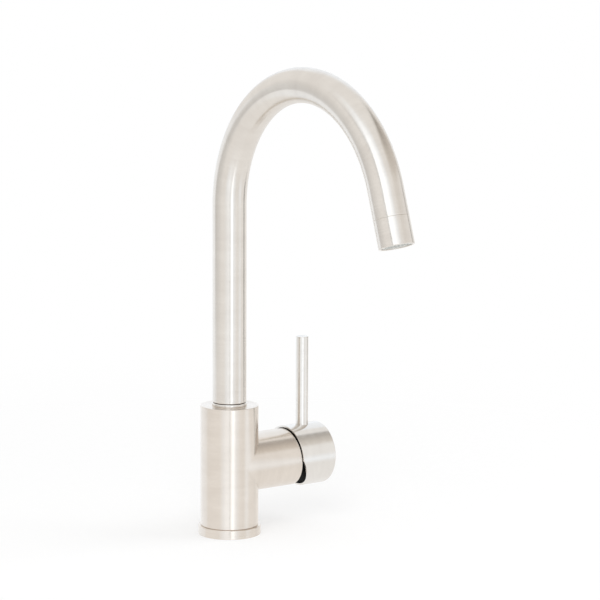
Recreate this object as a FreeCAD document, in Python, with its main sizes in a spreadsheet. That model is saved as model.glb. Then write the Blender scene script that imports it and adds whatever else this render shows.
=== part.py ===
import FreeCAD, Part
import os
import re

import Sketcher

# Single-lever kitchen mixer with a swivelling gooseneck spout and a side valve.
# Origin: centre of the base on the worktop. +Z up, spout towards -Y, lever branch towards +X.

# Driving dimensions, in millimetres and degrees.
SIZES = {
    # Gaps that serve the whole model
    "cut_overrun": 2.0,
    "running_gap": 0.3,
    "bearing_gap": 0.05,
    "joint_gap": 0.05,
    # Body casting
    "body_diameter": 48.0,
    "body_top": 108.0,
    "body_edge": 0.6,
    "foot_step": 2.0,
    "foot_lift": 1.5,
    "recess_wall": 4.0,
    "recess_top": 24.0,
    "inlet_bore": 9.0,
    "inlet_depth": 12.0,
    "inlet_spread": 8.0,
    "stud_bore": 6.8,
    "stud_depth": 10.0,
    "stud_spread": 13.0,
    "passage_bore": 7.0,
    "inlet_port_drop": 5.0,
    "outlet_port_rise": 8.5,
    # Base ring and its gasket
    "ring_ledge": 2.0,
    "ring_height": 7.5,
    "ring_edge": 0.8,
    "gasket_width": 1.6,
    "gasket_depth": 1.8,
    "gasket_inset": 1.3,
    # Valve branch
    "branch_diameter": 48.0,
    "branch_height": 57.5,
    "branch_reach": 57.5,
    "branch_slant": 5.0,
    "seat_depth": 32.5,
    "nut_diameter": 40.0,
    # Cartridge
    "cartridge_diameter": 35.0,
    "cartridge_gap": 0.2,
    "base_thickness": 5.0,
    "port_bore": 6.5,
    "seal_width": 1.2,
    "seal_height": 1.6,
    "fixed_disc_diameter": 28.0,
    "moving_disc_diameter": 21.0,
    "disc_thickness": 4.0,
    "mixing_bore": 9.0,
    "mixing_depth": 1.6,
    "driver_thickness": 4.0,
    "carrier_flange": 2.2,
    "carrier_neck_diameter": 24.2,
    "carrier_slot_width": 8.6,
    "carrier_slot_length": 18.0,
    "housing_shoulder": 2.0,
    "housing_neck_wall": 2.1,
    "neck_past_pivot": 3.0,
    "nut_height": 7.0,
    "nut_notch_width": 4.0,
    "nut_notch_depth": 2.5,
    "dome_wall": 1.5,
    "dome_opening": 25.0,
    # Spindle and its pivot
    "spindle_width": 8.0,
    "ball_diameter": 4.0,
    "spindle_neck_diameter": 3.0,
    "spindle_neck_length": 4.6,
    "pivot_pin_diameter": 3.0,
    "pivot_pin_length": 20.0,
    # Handle
    "lift_angle": 20.0,
    "cap_diameter": 52.0,
    "cap_length": 33.5,
    "cap_wall": 1.6,
    "cap_end_wall": 3.8,
    "cap_edge": 0.5,
    "cap_mouth_depth": 13.5,
    "dome_gap": 0.9,
    "rim_gap": 0.3,
    "rim_slant_upper": 2.5,
    "rim_slant_lower": 25.0,
    "pin_diameter": 10.5,
    "pin_offset": 17.0,
    "pin_length": 75.3,
    "pin_edge": 0.4,
    "pin_stud_diameter": 6.0,
    "pin_stud_length": 10.0,
    "handle_screw_diameter": 5.0,
    "handle_screw_length": 12.0,
    "handle_screw_setback": 8.0,
    "hex_socket_width": 2.5,
    "hex_socket_depth": 2.6,
    # Spout
    "tube_diameter": 28.0,
    "tube_wall": 1.2,
    "spout_rise": 162.4,
    "bend_radius": 104.5,
    "bend_angle": 161.5,
    "end_run": 45.4,
    "seam_edge": 0.3,
    # Swivel
    "bush_setback": 0.3,
    "bush_wall": 1.9,
    "bush_length": 28.0,
    "collar_step": 0.4,
    "collar_height": 2.4,
    "collar_edge": 0.3,
    "washer_thickness": 0.5,
    "washer_inset": 0.6,
    "spigot_wall": 3.4,
    "spigot_length": 34.0,
    "spigot_grip": 14.0,
    "seal_section": 2.4,
    "seal_spread": 12.0,
    "retainer_drop": 6.5,
    "retainer_width": 4.4,
    "retainer_depth": 1.6,
    "retainer_screw_diameter": 5.0,
    "retainer_tip_diameter": 3.2,
    "retainer_tip_length": 3.2,
    # Spout tip and aerator
    "tip_length": 22.2,
    "tip_wall": 2.0,
    "tip_edge": 0.5,
    "tip_neck_length": 9.0,
    "tip_neck_wall": 2.1,
    "aerator_recess": 0.8,
    "aerator_length": 12.0,
    "aerator_wall": 1.9,
    "aerator_lip": 1.2,
    "aerator_lip_width": 0.9,
    "aerator_notch_width": 3.0,
    "screen_thickness": 1.0,
    "screen_hole": 1.5,
    "screen_pitch": 2.6,
    "core_length": 7.0,
    "core_hole": 2.6,
    "core_pitch": 5.6,
    "outlet_seal_height": 1.8,
    "outlet_seal_width": 2.2,
}

# Sizes and places worked out from the driving dimensions.
PLACES = {
    "body_radius": "body_diameter / 2",
    "foot_radius": "body_radius - foot_step",
    "recess_radius": "foot_radius - recess_wall",
    "ring_radius": "body_radius + ring_ledge",
    "ring_bore_radius": "foot_radius + joint_gap",
    "gasket_outer": "ring_radius - gasket_inset",
    "gasket_inner": "gasket_outer - gasket_width",
    "branch_radius": "branch_diameter / 2",
    "seat_reach": "branch_reach - seat_depth",
    "inlet_port_height": "branch_height - inlet_port_drop",
    "outlet_port_height": "branch_height + outlet_port_rise",
    # Cartridge stack, measured along the branch axis from the body axis
    "cartridge_radius": "cartridge_diameter / 2",
    "cartridge_bore_radius": "cartridge_radius + cartridge_gap",
    "base_top": "seat_reach + base_thickness",
    "fixed_top": "base_top + disc_thickness",
    "moving_bottom": "fixed_top + joint_gap",
    "moving_top": "moving_bottom + disc_thickness",
    "driver_top": "moving_top + driver_thickness",
    "carrier_bottom": "driver_top + running_gap",
    "flange_top": "carrier_bottom + carrier_flange",
    "shoulder_bottom": "flange_top + running_gap",
    "shoulder_top": "shoulder_bottom + housing_shoulder",
    "nut_top": "shoulder_top + nut_height",
    "nut_radius": "nut_diameter / 2 - joint_gap",
    "pivot_reach": "branch_reach",
    "neck_top": "pivot_reach + neck_past_pivot",
    "carrier_neck_radius": "carrier_neck_diameter / 2",
    "housing_neck_bore": "carrier_neck_radius + running_gap",
    "housing_neck_radius": "housing_neck_bore + housing_neck_wall",
    "housing_bore_radius": "fixed_disc_diameter / 2 + running_gap",
    "carrier_flange_radius": "fixed_disc_diameter / 2",
    "ball_radius": "ball_diameter / 2",
    "ball_reach": "moving_top + ball_radius + running_gap",
    "spindle_arm": "pivot_reach - ball_reach",
    "disc_travel": "spindle_arm * sin(lift_angle)",
    "disc_rest": "-disc_travel / 2",
    "dome_radius": "nut_diameter / 2 - running_gap",
    # Handle
    "cap_radius": "cap_diameter / 2",
    "cap_end": "pivot_reach + cap_length",
    "cap_cavity_radius": "dome_radius + dome_gap",
    "rim_reach": "branch_reach + rim_gap",
    "cap_start": "rim_reach - cap_radius * tan(rim_slant_upper)",
    "cap_mouth_end": "pivot_reach + cap_mouth_depth",
    "spindle_end": "cap_end - cap_end_wall",
    "pin_reach": "pivot_reach + pin_offset",
    "pin_radius": "pin_diameter / 2",
    "pin_seat": "sqrt(cap_radius ^ 2 - pin_radius ^ 2) - joint_gap",
    "handle_screw_reach": "cap_end - handle_screw_setback",
    # Swivel and spout
    "tube_radius": "tube_diameter / 2",
    "tube_bore_radius": "tube_radius - tube_wall",
    "bush_radius": "tube_radius - bush_setback",
    "bush_bore_radius": "bush_radius - bush_wall",
    "bush_bottom": "body_top - bush_length",
    "collar_radius": "tube_radius + collar_step",
    "collar_top": "body_top + collar_height",
    "tube_bottom": "collar_top + washer_thickness",
    "bend_start": "tube_bottom + spout_rise",
    "spigot_radius": "bush_bore_radius - bearing_gap",
    "spigot_bore_radius": "spigot_radius - spigot_wall",
    "spigot_bottom": "body_top - spigot_length",
    "spigot_grip_radius": "tube_bore_radius - joint_gap",
    "seal_radius": "seal_section / 2",
    "seal_path_radius": "spigot_radius - seal_radius",
    "seal_low": "bush_bottom + seal_section",
    "seal_high": "seal_low + seal_spread",
    "retainer_height": "body_top - retainer_drop",
    "spigot_well": "spigot_bottom - cut_overrun",
    # Spout tip and aerator, measured from the outlet up the tip's own axis
    "tip_bore_radius": "tube_radius - tip_wall",
    "tip_neck_radius": "tube_bore_radius - joint_gap",
    "tip_neck_bore": "tip_neck_radius - tip_neck_wall",
    "aerator_radius": "tip_bore_radius - joint_gap",
    "aerator_bore_radius": "aerator_radius - aerator_wall",
    "aerator_top": "aerator_recess + aerator_length",
    "tip_shoulder": "aerator_top + outlet_seal_height",
    "lip_top": "aerator_recess + aerator_lip",
    "lip_bore_radius": "aerator_bore_radius - aerator_lip_width",
    "screen_top": "lip_top + screen_thickness",
    "core_top": "screen_top + core_length",
    "insert_radius": "aerator_bore_radius - joint_gap",
}

# Sketch references: the points of a piece of geometry, the origin, and the axis of a zero coordinate.
START, END, CENTRE = range(1, 4)
Y_AXIS, X_AXIS = range(-2, 0)
ORIGIN_POINT = (X_AXIS, START)
ZERO_AXIS = {"DistanceX": Y_AXIS, "DistanceY": X_AXIS}
FUNCTIONS = ("sin", "cos", "tan", "sqrt")

# Holes in each ring of the aerator's screen and core, and key notches in the cartridge's nut.
SCREEN_RING_COUNTS = (6, 12, 18)
CORE_HOLE_COUNT = 6
NUT_NOTCH_COUNT = 4

doc = FreeCAD.newDocument("kitchen_mixer")
sheet = doc.addObject("Spreadsheet::Sheet", "sizes")
for row, (alias, size) in enumerate(SIZES.items(), start=1):
    sheet.set(f"A{row}", alias.replace("_", " "))
    sheet.set(f"B{row}", str(size))
    sheet.setAlias(f"B{row}", alias)
doc.recompute()

nodes = []


def bound(text):
    """Spell out a size expression in sheet cells, working derived places down to driving sizes."""

    def spell(match):
        name = match.group(0)
        if name in PLACES:
            return f"({bound(PLACES[name])})"
        if name in FUNCTIONS:
            return name
        return f"sizes.{name}"

    return re.sub(r"[a-z][a-z_]*", spell, text)


def number(text):
    """Value of a size expression now, for a first guess at a sketch's geometry."""
    return float(sheet.evalExpression(bound(text)))


def node(item, label):
    """Keep an object as a finished sub-part under its label."""
    item.Label = label
    nodes.append(item)
    return item


def place(item, x="0", y="0", z="0", axis=(0, 0, 1), angle="0"):
    """Bind an object's placement to a point and a turn about an axis."""
    point = ";".join(bound(part) for part in (x, y, z))
    turn = ";".join(str(part) for part in axis)
    item.setExpression("Placement", f"placement(vector({point}); rotation(vector({turn}); {bound(angle)}))")


def place_on_branch(item):
    """Lay a sub-part's own Z along the branch axis, with its own X upwards."""
    place(item, z="branch_height", axis=(1, 0, 1), angle="180")


def place_on_tip(item):
    """Lay a sub-part's own Z up the spout tip's axis, from the outlet."""
    place(
        item,
        y="-(bend_radius * (1 - cos(bend_angle)) + end_run * sin(bend_angle))",
        z="bend_start + bend_radius * sin(bend_angle) + end_run * cos(bend_angle)",
        axis=(1, 0, 0),
        angle="bend_angle - 180",
    )


def new_sketch(body, name, role, offset=None):
    """Sketch on one of the body's own origin planes, moved along or across it by bound offsets."""
    sketch = body.newObject("Sketcher::SketchObject", name)
    plane = next(item for item in body.Origin.OriginFeatures if item.Role == role)
    sketch.AttachmentSupport = (plane, [""])
    sketch.MapMode = "FlatFace"
    for direction, text in (offset or {}).items():
        sketch.setExpression(f"AttachmentOffset.Base.{direction}", bound(text))
    return sketch


def pin_down(sketch, geometry, point, x, y):
    """Fix one sketch point at bound coordinates."""
    for kind, text in (("DistanceX", x), ("DistanceY", y)):
        if text == "0":
            sketch.addConstraint(Sketcher.Constraint("PointOnObject", geometry, point, ZERO_AXIS[kind]))
            continue
        value = number(text)
        ends = (*ORIGIN_POINT, geometry, point)
        if value < 0:
            ends = (geometry, point, *ORIGIN_POINT)
            text = f"-({text})"
        index = sketch.addConstraint(Sketcher.Constraint(kind, *ends, abs(value)))
        sketch.setExpression(f"Constraints[{index}]", bound(text))


def outline(sketch, points):
    """Closed outline of straight runs through bound points."""
    spots = [FreeCAD.Vector(number(x), number(y), 0) for x, y in points]
    first = sketch.GeometryCount
    count = len(points)
    for i in range(count):
        sketch.addGeometry(Part.LineSegment(spots[i], spots[(i + 1) % count]), False)
    for i in range(count):
        after = first + (i + 1) % count
        sketch.addConstraint(Sketcher.Constraint("Coincident", first + i, END, after, START))
    for i, (x, y) in enumerate(points):
        pin_down(sketch, first + i, START, x, y)


def ring_of(sketch, x, y, radius):
    """Circle of a bound radius about a bound centre."""
    centre = FreeCAD.Vector(number(x), number(y), 0)
    index = sketch.addGeometry(Part.Circle(centre, FreeCAD.Vector(0, 0, 1), number(radius)), False)
    pin_down(sketch, index, CENTRE, x, y)
    size = sketch.addConstraint(Sketcher.Constraint("Radius", index, number(radius)))
    sketch.setExpression(f"Constraints[{size}]", bound(radius))


def turned(label, points, axis="V_Axis"):
    """Body turned about its own Z from a half section of (radius, height) points."""
    body = doc.addObject("PartDesign::Body", label)
    add_turning(body, f"{label}_section", points, axis)
    return body


def add_turning(body, name, points, axis="V_Axis", offset=None, cut=False):
    """Add or cut a full turn of an outline in the body's XZ plane."""
    sketch = new_sketch(body, name, "XZ_Plane", offset)
    outline(sketch, points)
    kind = "PartDesign::Groove" if cut else "PartDesign::Revolution"
    feature = body.newObject(kind, f"{name}_turn")
    feature.Profile = sketch
    feature.ReferenceAxis = (sketch, [axis])
    feature.Angle = 360
    doc.recompute()
    return feature


def extrude(body, sketch, length, kind="PartDesign::Pocket", back=False, both=False):
    """Pad or pocket a sketch over a bound length."""
    feature = body.newObject(kind, f"{sketch.Name}_run")
    feature.Profile = sketch
    feature.setExpression("Length", bound(length))
    feature.Reversed = back
    feature.SideType = "Symmetric" if both else "One side"
    doc.recompute()
    return feature


def drill(body, name, role, holes, radius, start, length, back=False):
    """Round holes of one radius, from a plane at a bound start over a bound length."""
    sketch = new_sketch(body, name, role, {"z": start})
    for x, y in holes:
        ring_of(sketch, x, y, radius)
    return extrude(body, sketch, length, back=back)


def repeat_round(body, feature, count):
    """Copy a feature round the body's own Z."""
    pattern = body.newObject("PartDesign::PolarPattern", f"{feature.Name}_round")
    pattern.Originals = [feature]
    axis = next(item for item in body.Origin.OriginFeatures if item.Role == "Z_Axis")
    pattern.Axis = (axis, [""])
    pattern.Angle = 360
    pattern.Occurrences = count
    body.Tip = pattern
    doc.recompute()


def solid(kind, name, **sizes):
    """Part primitive with bound sizes."""
    item = doc.addObject(f"Part::{kind}", name)
    for key, text in sizes.items():
        item.setExpression(key, bound(text))
    return item


def cut(name, base, tool):
    """Base less tool."""
    item = doc.addObject("Part::Cut", name)
    item.Base = base
    item.Tool = tool
    return item


def joined(name, *items):
    """One solid fused from several."""
    item = doc.addObject("Part::MultiFuse", name)
    item.Shapes = list(items)
    return item


def group(name, items):
    """Several separate solids in one sub-part."""
    item = doc.addObject("Part::Compound", name)
    item.Links = items
    return item


def ring(label, inner, outer, bottom, top):
    """Plain ring about its own Z."""
    return turned(label, [(inner, bottom), (outer, bottom), (outer, top), (inner, top)])


def hex_points(width):
    """Corners of a hexagon of a width across flats, two of them on the X axis."""
    corner = f"({width} / sqrt(3))"
    half = f"({corner} / 2)"
    side = f"({width} / 2)"
    return [
        (corner, "0"),
        (half, side),
        (f"-{half}", side),
        (f"-{corner}", "0"),
        (f"-{half}", f"-{side}"),
        (half, f"-{side}"),
    ]


def body_casting():
    """Brass casting: upright barrel, valve branch, swivel bore, hose recess and water passages."""
    body = turned(
        "body_casting",
        [
            ("0", "foot_lift"),
            ("foot_radius", "foot_lift"),
            ("foot_radius", "ring_height"),
            ("body_radius", "ring_height"),
            ("body_radius", "body_top - body_edge"),
            ("body_radius - body_edge", "body_top"),
            ("0", "body_top"),
        ],
    )
    # Branch with its end cut on a slant, the top nearer the barrel
    branch = new_sketch(body, "branch_round", "YZ_Plane")
    ring_of(branch, "0", "branch_height", "branch_radius")
    extrude(body, branch, "branch_reach + branch_radius", kind="PartDesign::Pad")
    slant = new_sketch(body, "branch_slant_face", "XZ_Plane", {"y": "branch_height"})
    lean = "(branch_radius + cut_overrun) * tan(branch_slant)"
    far = "branch_reach + 2 * branch_radius"
    outline(
        slant,
        [
            (f"branch_reach - {lean}", "branch_radius + cut_overrun"),
            (far, "branch_radius + cut_overrun"),
            (far, "-(branch_radius + cut_overrun)"),
            (f"branch_reach + {lean}", "-(branch_radius + cut_overrun)"),
        ],
    )
    extrude(body, slant, "branch_diameter + body_diameter", both=True)
    # Swivel bore from above and hose recess from below
    add_turning(
        body,
        "swivel_bore",
        [
            ("0", "spigot_well"),
            ("bush_radius + joint_gap", "spigot_well"),
            ("bush_radius + joint_gap", "body_top + cut_overrun"),
            ("0", "body_top + cut_overrun"),
        ],
        cut=True,
    )
    add_turning(
        body,
        "hose_recess",
        [("0", "0"), ("recess_radius", "0"), ("recess_radius", "recess_top"), ("0", "recess_top")],
        cut=True,
    )
    # Cartridge bore and the wider thread of its nut
    far_end = "branch_reach + branch_radius"
    add_turning(
        body,
        "cartridge_bore",
        [
            ("seat_reach", "0"),
            ("seat_reach", "cartridge_bore_radius"),
            ("shoulder_top", "cartridge_bore_radius"),
            ("shoulder_top", "nut_diameter / 2"),
            (far_end, "nut_diameter / 2"),
            (far_end, "0"),
        ],
        axis="H_Axis",
        offset={"y": "branch_height"},
        cut=True,
    )
    # Inlet threads, their rising passages and the ports into the cartridge seat
    inlets = [("0", "inlet_spread"), ("0", "-inlet_spread")]
    drill(body, "inlet_threads", "XY_Plane", inlets, "inlet_bore / 2", "recess_top", "inlet_depth", back=True)
    rise = "inlet_port_height - recess_top"
    drill(body, "inlet_rises", "XY_Plane", inlets, "passage_bore / 2", "recess_top", rise, back=True)
    ports = [("inlet_spread", "inlet_port_height"), ("-inlet_spread", "inlet_port_height")]
    drill(body, "inlet_ports", "YZ_Plane", ports, "passage_bore / 2", "0", "seat_reach", back=True)
    # Outlet port and the rise from it to the swivel bore
    bore = "passage_bore / 2"
    port = [("0", "outlet_port_height")]
    drill(body, "outlet_port", "YZ_Plane", port, bore, "0", "seat_reach", back=True)
    climb = "spigot_well - outlet_port_height"
    drill(body, "outlet_rise", "XY_Plane", [("0", "0")], bore, "outlet_port_height", climb, back=True)
    # Blind threads for the two fixing studs
    studs = [("stud_spread", "0"), ("-stud_spread", "0")]
    drill(body, "stud_threads", "XY_Plane", studs, "stud_bore / 2", "recess_top", "stud_depth", back=True)
    # Threaded hole at the back for the spout's retaining screw
    drill(
        body,
        "retainer_hole",
        "XZ_Plane",
        [("0", "retainer_height")],
        "retainer_screw_diameter / 2 + joint_gap",
        "0",
        "body_radius + cut_overrun",
    )
    node(body, "body_casting")


def base_ring():
    """Escutcheon ring that the barrel stands in, grooved below for its gasket."""
    body = turned(
        "base_ring",
        [
            ("ring_bore_radius", "0"),
            ("gasket_inner", "0"),
            ("gasket_inner", "gasket_depth"),
            ("gasket_outer", "gasket_depth"),
            ("gasket_outer", "0"),
            ("ring_radius", "0"),
            ("ring_radius", "ring_height - ring_edge"),
            ("ring_radius - ring_edge", "ring_height"),
            ("ring_bore_radius", "ring_height"),
        ],
    )
    node(body, "base_ring")
    node(ring("base_gasket", "gasket_inner", "gasket_outer", "0", "gasket_depth"), "base_gasket")


def swivel():
    """Bush pressed in the barrel's top, its slip washer and the screw that keeps the spout in."""
    bush = turned(
        "swivel_bush",
        [
            ("bush_bore_radius", "bush_bottom"),
            ("bush_radius", "bush_bottom"),
            ("bush_radius", "body_top"),
            ("collar_radius", "body_top"),
            ("collar_radius", "collar_top - collar_edge"),
            ("collar_radius - collar_edge", "collar_top"),
            ("bush_bore_radius", "collar_top"),
        ],
    )
    drill(
        bush,
        "bush_screw_hole",
        "XZ_Plane",
        [("0", "retainer_height")],
        "retainer_screw_diameter / 2 + joint_gap",
        "0",
        "collar_radius",
    )
    node(bush, "swivel_bush")
    washer_radius = "tube_radius - washer_inset"
    node(ring("slip_washer", "bush_bore_radius", washer_radius, "collar_top", "tube_bottom"), "slip_washer")
    # Screw: its own Z points inwards from the back of the barrel to a dog point in the spigot's groove
    root = "body_radius - bush_bore_radius"
    tip_end = f"{root} + retainer_depth - running_gap"
    screw = turned(
        "retainer_screw",
        [
            ("0", "running_gap"),
            ("retainer_screw_diameter / 2", "running_gap"),
            ("retainer_screw_diameter / 2", f"{tip_end} - retainer_tip_length"),
            ("retainer_tip_diameter / 2", f"{tip_end} - retainer_tip_length"),
            ("retainer_tip_diameter / 2", tip_end),
            ("0", tip_end),
        ],
    )
    hexagon = new_sketch(screw, "retainer_screw_hex", "XY_Plane")
    outline(hexagon, hex_points("hex_socket_width"))
    extrude(screw, hexagon, "hex_socket_depth", back=True)
    place(screw, y="body_radius", z="retainer_height", axis=(1, 0, 0), angle="90")
    node(screw, "retainer_screw")


def spout_tube():
    """Bent tube: upright, gooseneck bend and a short straight end."""
    body = doc.addObject("PartDesign::Body", "spout_tube")
    path = new_sketch(body, "spout_path", "YZ_Plane")
    bend_end = ("bend_radius * (1 - cos(bend_angle))", "bend_start + bend_radius * sin(bend_angle)")
    run = "(end_run - tip_length)"
    end = (f"{bend_end[0]} + {run} * sin(bend_angle)", f"{bend_end[1]} + {run} * cos(bend_angle)")
    foot = FreeCAD.Vector(0, number("tube_bottom"), 0)
    knee = FreeCAD.Vector(0, number("bend_start"), 0)
    middle = FreeCAD.Vector(
        number("bend_radius * (1 - cos(bend_angle / 2))"),
        number("bend_start + bend_radius * sin(bend_angle / 2)"),
        0,
    )
    turn_end = FreeCAD.Vector(number(bend_end[0]), number(bend_end[1]), 0)
    finish = FreeCAD.Vector(number(end[0]), number(end[1]), 0)
    upright = path.addGeometry(Part.LineSegment(foot, knee), False)
    bend = path.addGeometry(Part.Arc(knee, middle, turn_end), False)
    straight = path.addGeometry(Part.LineSegment(turn_end, finish), False)
    # The arc runs the other way round in the sketch, so its end is at the upright
    path.addConstraint(Sketcher.Constraint("Coincident", upright, END, bend, END))
    path.addConstraint(Sketcher.Constraint("Coincident", bend, START, straight, START))
    pin_down(path, upright, START, "0", "tube_bottom")
    pin_down(path, upright, END, "0", "bend_start")
    pin_down(path, bend, CENTRE, "bend_radius", "bend_start")
    turn = path.addConstraint(Sketcher.Constraint("DistanceX", *ORIGIN_POINT, bend, START, turn_end.x))
    path.setExpression(f"Constraints[{turn}]", bound(bend_end[0]))
    pin_down(path, straight, END, *end)
    section = new_sketch(body, "tube_section", "XY_Plane", {"z": "tube_bottom"})
    ring_of(section, "0", "0", "tube_radius")
    ring_of(section, "0", "0", "tube_bore_radius")
    pipe = body.newObject("PartDesign::AdditivePipe", "tube_run")
    pipe.Profile = section
    pipe.Spine = (path, ["Edge1", "Edge2", "Edge3"])
    doc.recompute()
    place(body, angle="180")
    node(body, "spout_tube")


def spout_spigot():
    """Turned spigot brazed in the tube's foot, with its seal grooves, and the two seals."""
    groove = "spigot_radius - retainer_depth"
    seat = "spigot_radius - seal_section"
    low = ("seal_low - seal_radius", "seal_low + seal_radius")
    high = ("seal_high - seal_radius", "seal_high + seal_radius")
    keep = ("retainer_height - retainer_width / 2", "retainer_height + retainer_width / 2")
    body = turned(
        "spout_spigot",
        [
            ("spigot_bore_radius", "spigot_bottom"),
            ("spigot_radius", "spigot_bottom"),
            ("spigot_radius", low[0]),
            (seat, low[0]),
            (seat, low[1]),
            ("spigot_radius", low[1]),
            ("spigot_radius", high[0]),
            (seat, high[0]),
            (seat, high[1]),
            ("spigot_radius", high[1]),
            ("spigot_radius", keep[0]),
            (groove, keep[0]),
            (groove, keep[1]),
            ("spigot_radius", keep[1]),
            ("spigot_radius", "tube_bottom"),
            ("spigot_grip_radius", "tube_bottom"),
            ("spigot_grip_radius", "tube_bottom + spigot_grip"),
            ("spigot_bore_radius", "tube_bottom + spigot_grip"),
        ],
    )
    node(body, "spout_spigot")
    rings = []
    for name, height in (("lower_seal", "seal_low"), ("upper_seal", "seal_high")):
        seal = solid("Torus", name, Radius1="seal_path_radius", Radius2="seal_radius - joint_gap")
        place(seal, z=height)
        rings.append(seal)
    node(group("spigot_seals", rings), "spigot_seals")


def spout_tip():
    """Sleeve on the tube's end with its aerator: body, screen, core and seal."""
    tip = turned(
        "spout_tip",
        [
            ("tip_bore_radius", "0"),
            ("tube_radius - tip_edge", "0"),
            ("tube_radius", "tip_edge"),
            ("tube_radius", "tip_length - seam_edge"),
            ("tube_radius - seam_edge", "tip_length"),
            ("tip_neck_radius", "tip_length"),
            ("tip_neck_radius", "tip_length + tip_neck_length"),
            ("tip_neck_bore", "tip_length + tip_neck_length"),
            ("tip_neck_bore", "tip_shoulder"),
            ("tip_bore_radius", "tip_shoulder"),
        ],
    )
    place_on_tip(tip)
    node(tip, "spout_tip")
    shell = turned(
        "aerator_body",
        [
            ("lip_bore_radius", "aerator_recess"),
            ("aerator_radius", "aerator_recess"),
            ("aerator_radius", "aerator_top"),
            ("aerator_bore_radius", "aerator_top"),
            ("aerator_bore_radius", "lip_top"),
            ("lip_bore_radius", "lip_top"),
        ],
    )
    notch = new_sketch(shell, "coin_notch", "XY_Plane")
    half = "aerator_notch_width / 2"
    reach = "aerator_radius + cut_overrun"
    outline(notch, [(reach, half), (f"-({reach})", half), (f"-({reach})", f"-{half}"), (reach, f"-{half}")])
    extrude(shell, notch, "aerator_recess + aerator_lip / 2", back=True)
    place_on_tip(shell)
    node(shell, "aerator_body")
    aerator_inserts()


def aerator_inserts():
    """Screen and flow core inside the aerator body, and the seal above it."""
    screen = ring("aerator_screen", "0", "insert_radius", "lip_top", "screen_top")
    bore = "screen_hole / 2"
    drill(screen, "middle_hole", "XY_Plane", [("0", "0")], bore, "lip_top", "screen_thickness", back=True)
    for turn, count in enumerate(SCREEN_RING_COUNTS, start=1):
        spot = [(f"screen_pitch * {turn}", "0")]
        name = f"screen_holes_{count}"
        hole = drill(screen, name, "XY_Plane", spot, bore, "lip_top", "screen_thickness", back=True)
        repeat_round(screen, hole, count)
    place_on_tip(screen)
    node(screen, "aerator_screen")
    core = ring("aerator_core", "0", "insert_radius", "screen_top", "core_top")
    spot = [("core_pitch", "0")]
    bore = "core_hole / 2"
    hole = drill(core, "core_holes", "XY_Plane", spot, bore, "screen_top", "core_length", back=True)
    repeat_round(core, hole, CORE_HOLE_COUNT)
    place_on_tip(core)
    node(core, "aerator_core")
    seal_bore = "aerator_radius - outlet_seal_width"
    seal = ring("aerator_seal", seal_bore, "aerator_radius", "aerator_top", "tip_shoulder")
    place_on_tip(seal)
    node(seal, "aerator_seal")


# Water ports of the cartridge: two inlets low, one outlet high, as (up, across) in the branch frame.
PORTS = [
    ("-inlet_port_drop", "inlet_spread"),
    ("-inlet_port_drop", "-inlet_spread"),
    ("outlet_port_rise", "0"),
]


def cartridge():
    """Ceramic-disc cartridge: base with its seals, fixed disc and housing."""
    foot = ring("cartridge_base", "0", "cartridge_radius", "seat_reach", "base_top")
    drill(foot, "base_ports", "XY_Plane", PORTS, "port_bore / 2", "seat_reach", "base_thickness", back=True)
    seat = "port_bore / 2 + seal_width"
    drill(foot, "seal_seats", "XY_Plane", PORTS, seat, "seat_reach", "seal_height", back=True)
    place_on_branch(foot)
    node(foot, "cartridge_base")
    rings = []
    for i, (up, across) in enumerate(PORTS):
        outer = solid("Cylinder", f"seal_outer_{i}", Radius=f"{seat} - joint_gap", Height="seal_height")
        inner = solid("Cylinder", f"seal_inner_{i}", Radius="port_bore / 2", Height="seal_height")
        loop = cut(f"port_seal_{i}", outer, inner)
        place(loop, x=up, y=across, z="seat_reach")
        rings.append(loop)
    seals = group("cartridge_seals", rings)
    place_on_branch(seals)
    node(seals, "cartridge_seals")
    disc = ring("fixed_disc", "0", "fixed_disc_diameter / 2", "base_top", "fixed_top")
    drill(disc, "disc_ports", "XY_Plane", PORTS, "port_bore / 2", "base_top", "disc_thickness", back=True)
    place_on_branch(disc)
    node(disc, "fixed_disc")
    housing = turned(
        "cartridge_housing",
        [
            ("housing_bore_radius", "base_top"),
            ("cartridge_radius", "base_top"),
            ("cartridge_radius", "shoulder_top"),
            ("housing_neck_radius", "shoulder_top"),
            ("housing_neck_radius", "neck_top"),
            ("housing_neck_bore", "neck_top"),
            ("housing_neck_bore", "shoulder_bottom"),
            ("housing_bore_radius", "shoulder_bottom"),
        ],
    )
    place_on_branch(housing)
    node(housing, "cartridge_housing")


def cartridge_nut():
    """Threaded brass nut that holds the cartridge down, with notches for its key."""
    nut = ring("cartridge_nut", "housing_neck_radius + running_gap", "nut_radius", "shoulder_top", "nut_top")
    notch = new_sketch(nut, "key_notch", "XY_Plane", {"z": "nut_top"})
    half = "nut_notch_width / 2"
    inner = "housing_neck_radius - cut_overrun"
    outer = "housing_neck_radius + running_gap + nut_notch_depth"
    outline(notch, [(inner, f"-{half}"), (outer, f"-{half}"), (outer, half), (inner, half)])
    groove = extrude(nut, notch, "nut_notch_depth")
    repeat_round(nut, groove, NUT_NOTCH_COUNT)
    place_on_branch(nut)
    node(nut, "cartridge_nut")


def cartridge_dome():
    """Dark plastic dome over the nut, a zone of a sphere about the lever's pivot."""
    ball = solid("Sphere", "dome_ball", Radius="dome_radius")
    hollow = solid("Sphere", "dome_hollow", Radius="dome_radius - dome_wall")
    shell = cut("dome_shell", ball, hollow)
    below = solid("Cylinder", "dome_below", Radius="dome_radius + cut_overrun", Height="dome_radius * 2")
    place(below, z="nut_top - pivot_reach - dome_radius * 2")
    opening = solid("Cylinder", "dome_mouth", Radius="dome_opening / 2", Height="dome_radius + cut_overrun")
    zone = cut("dome_zone", cut("dome_top", shell, below), opening)
    place(zone, x="pivot_reach", z="branch_height", axis=(1, 0, 1), angle="180")
    node(zone, "cartridge_dome")


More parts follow.
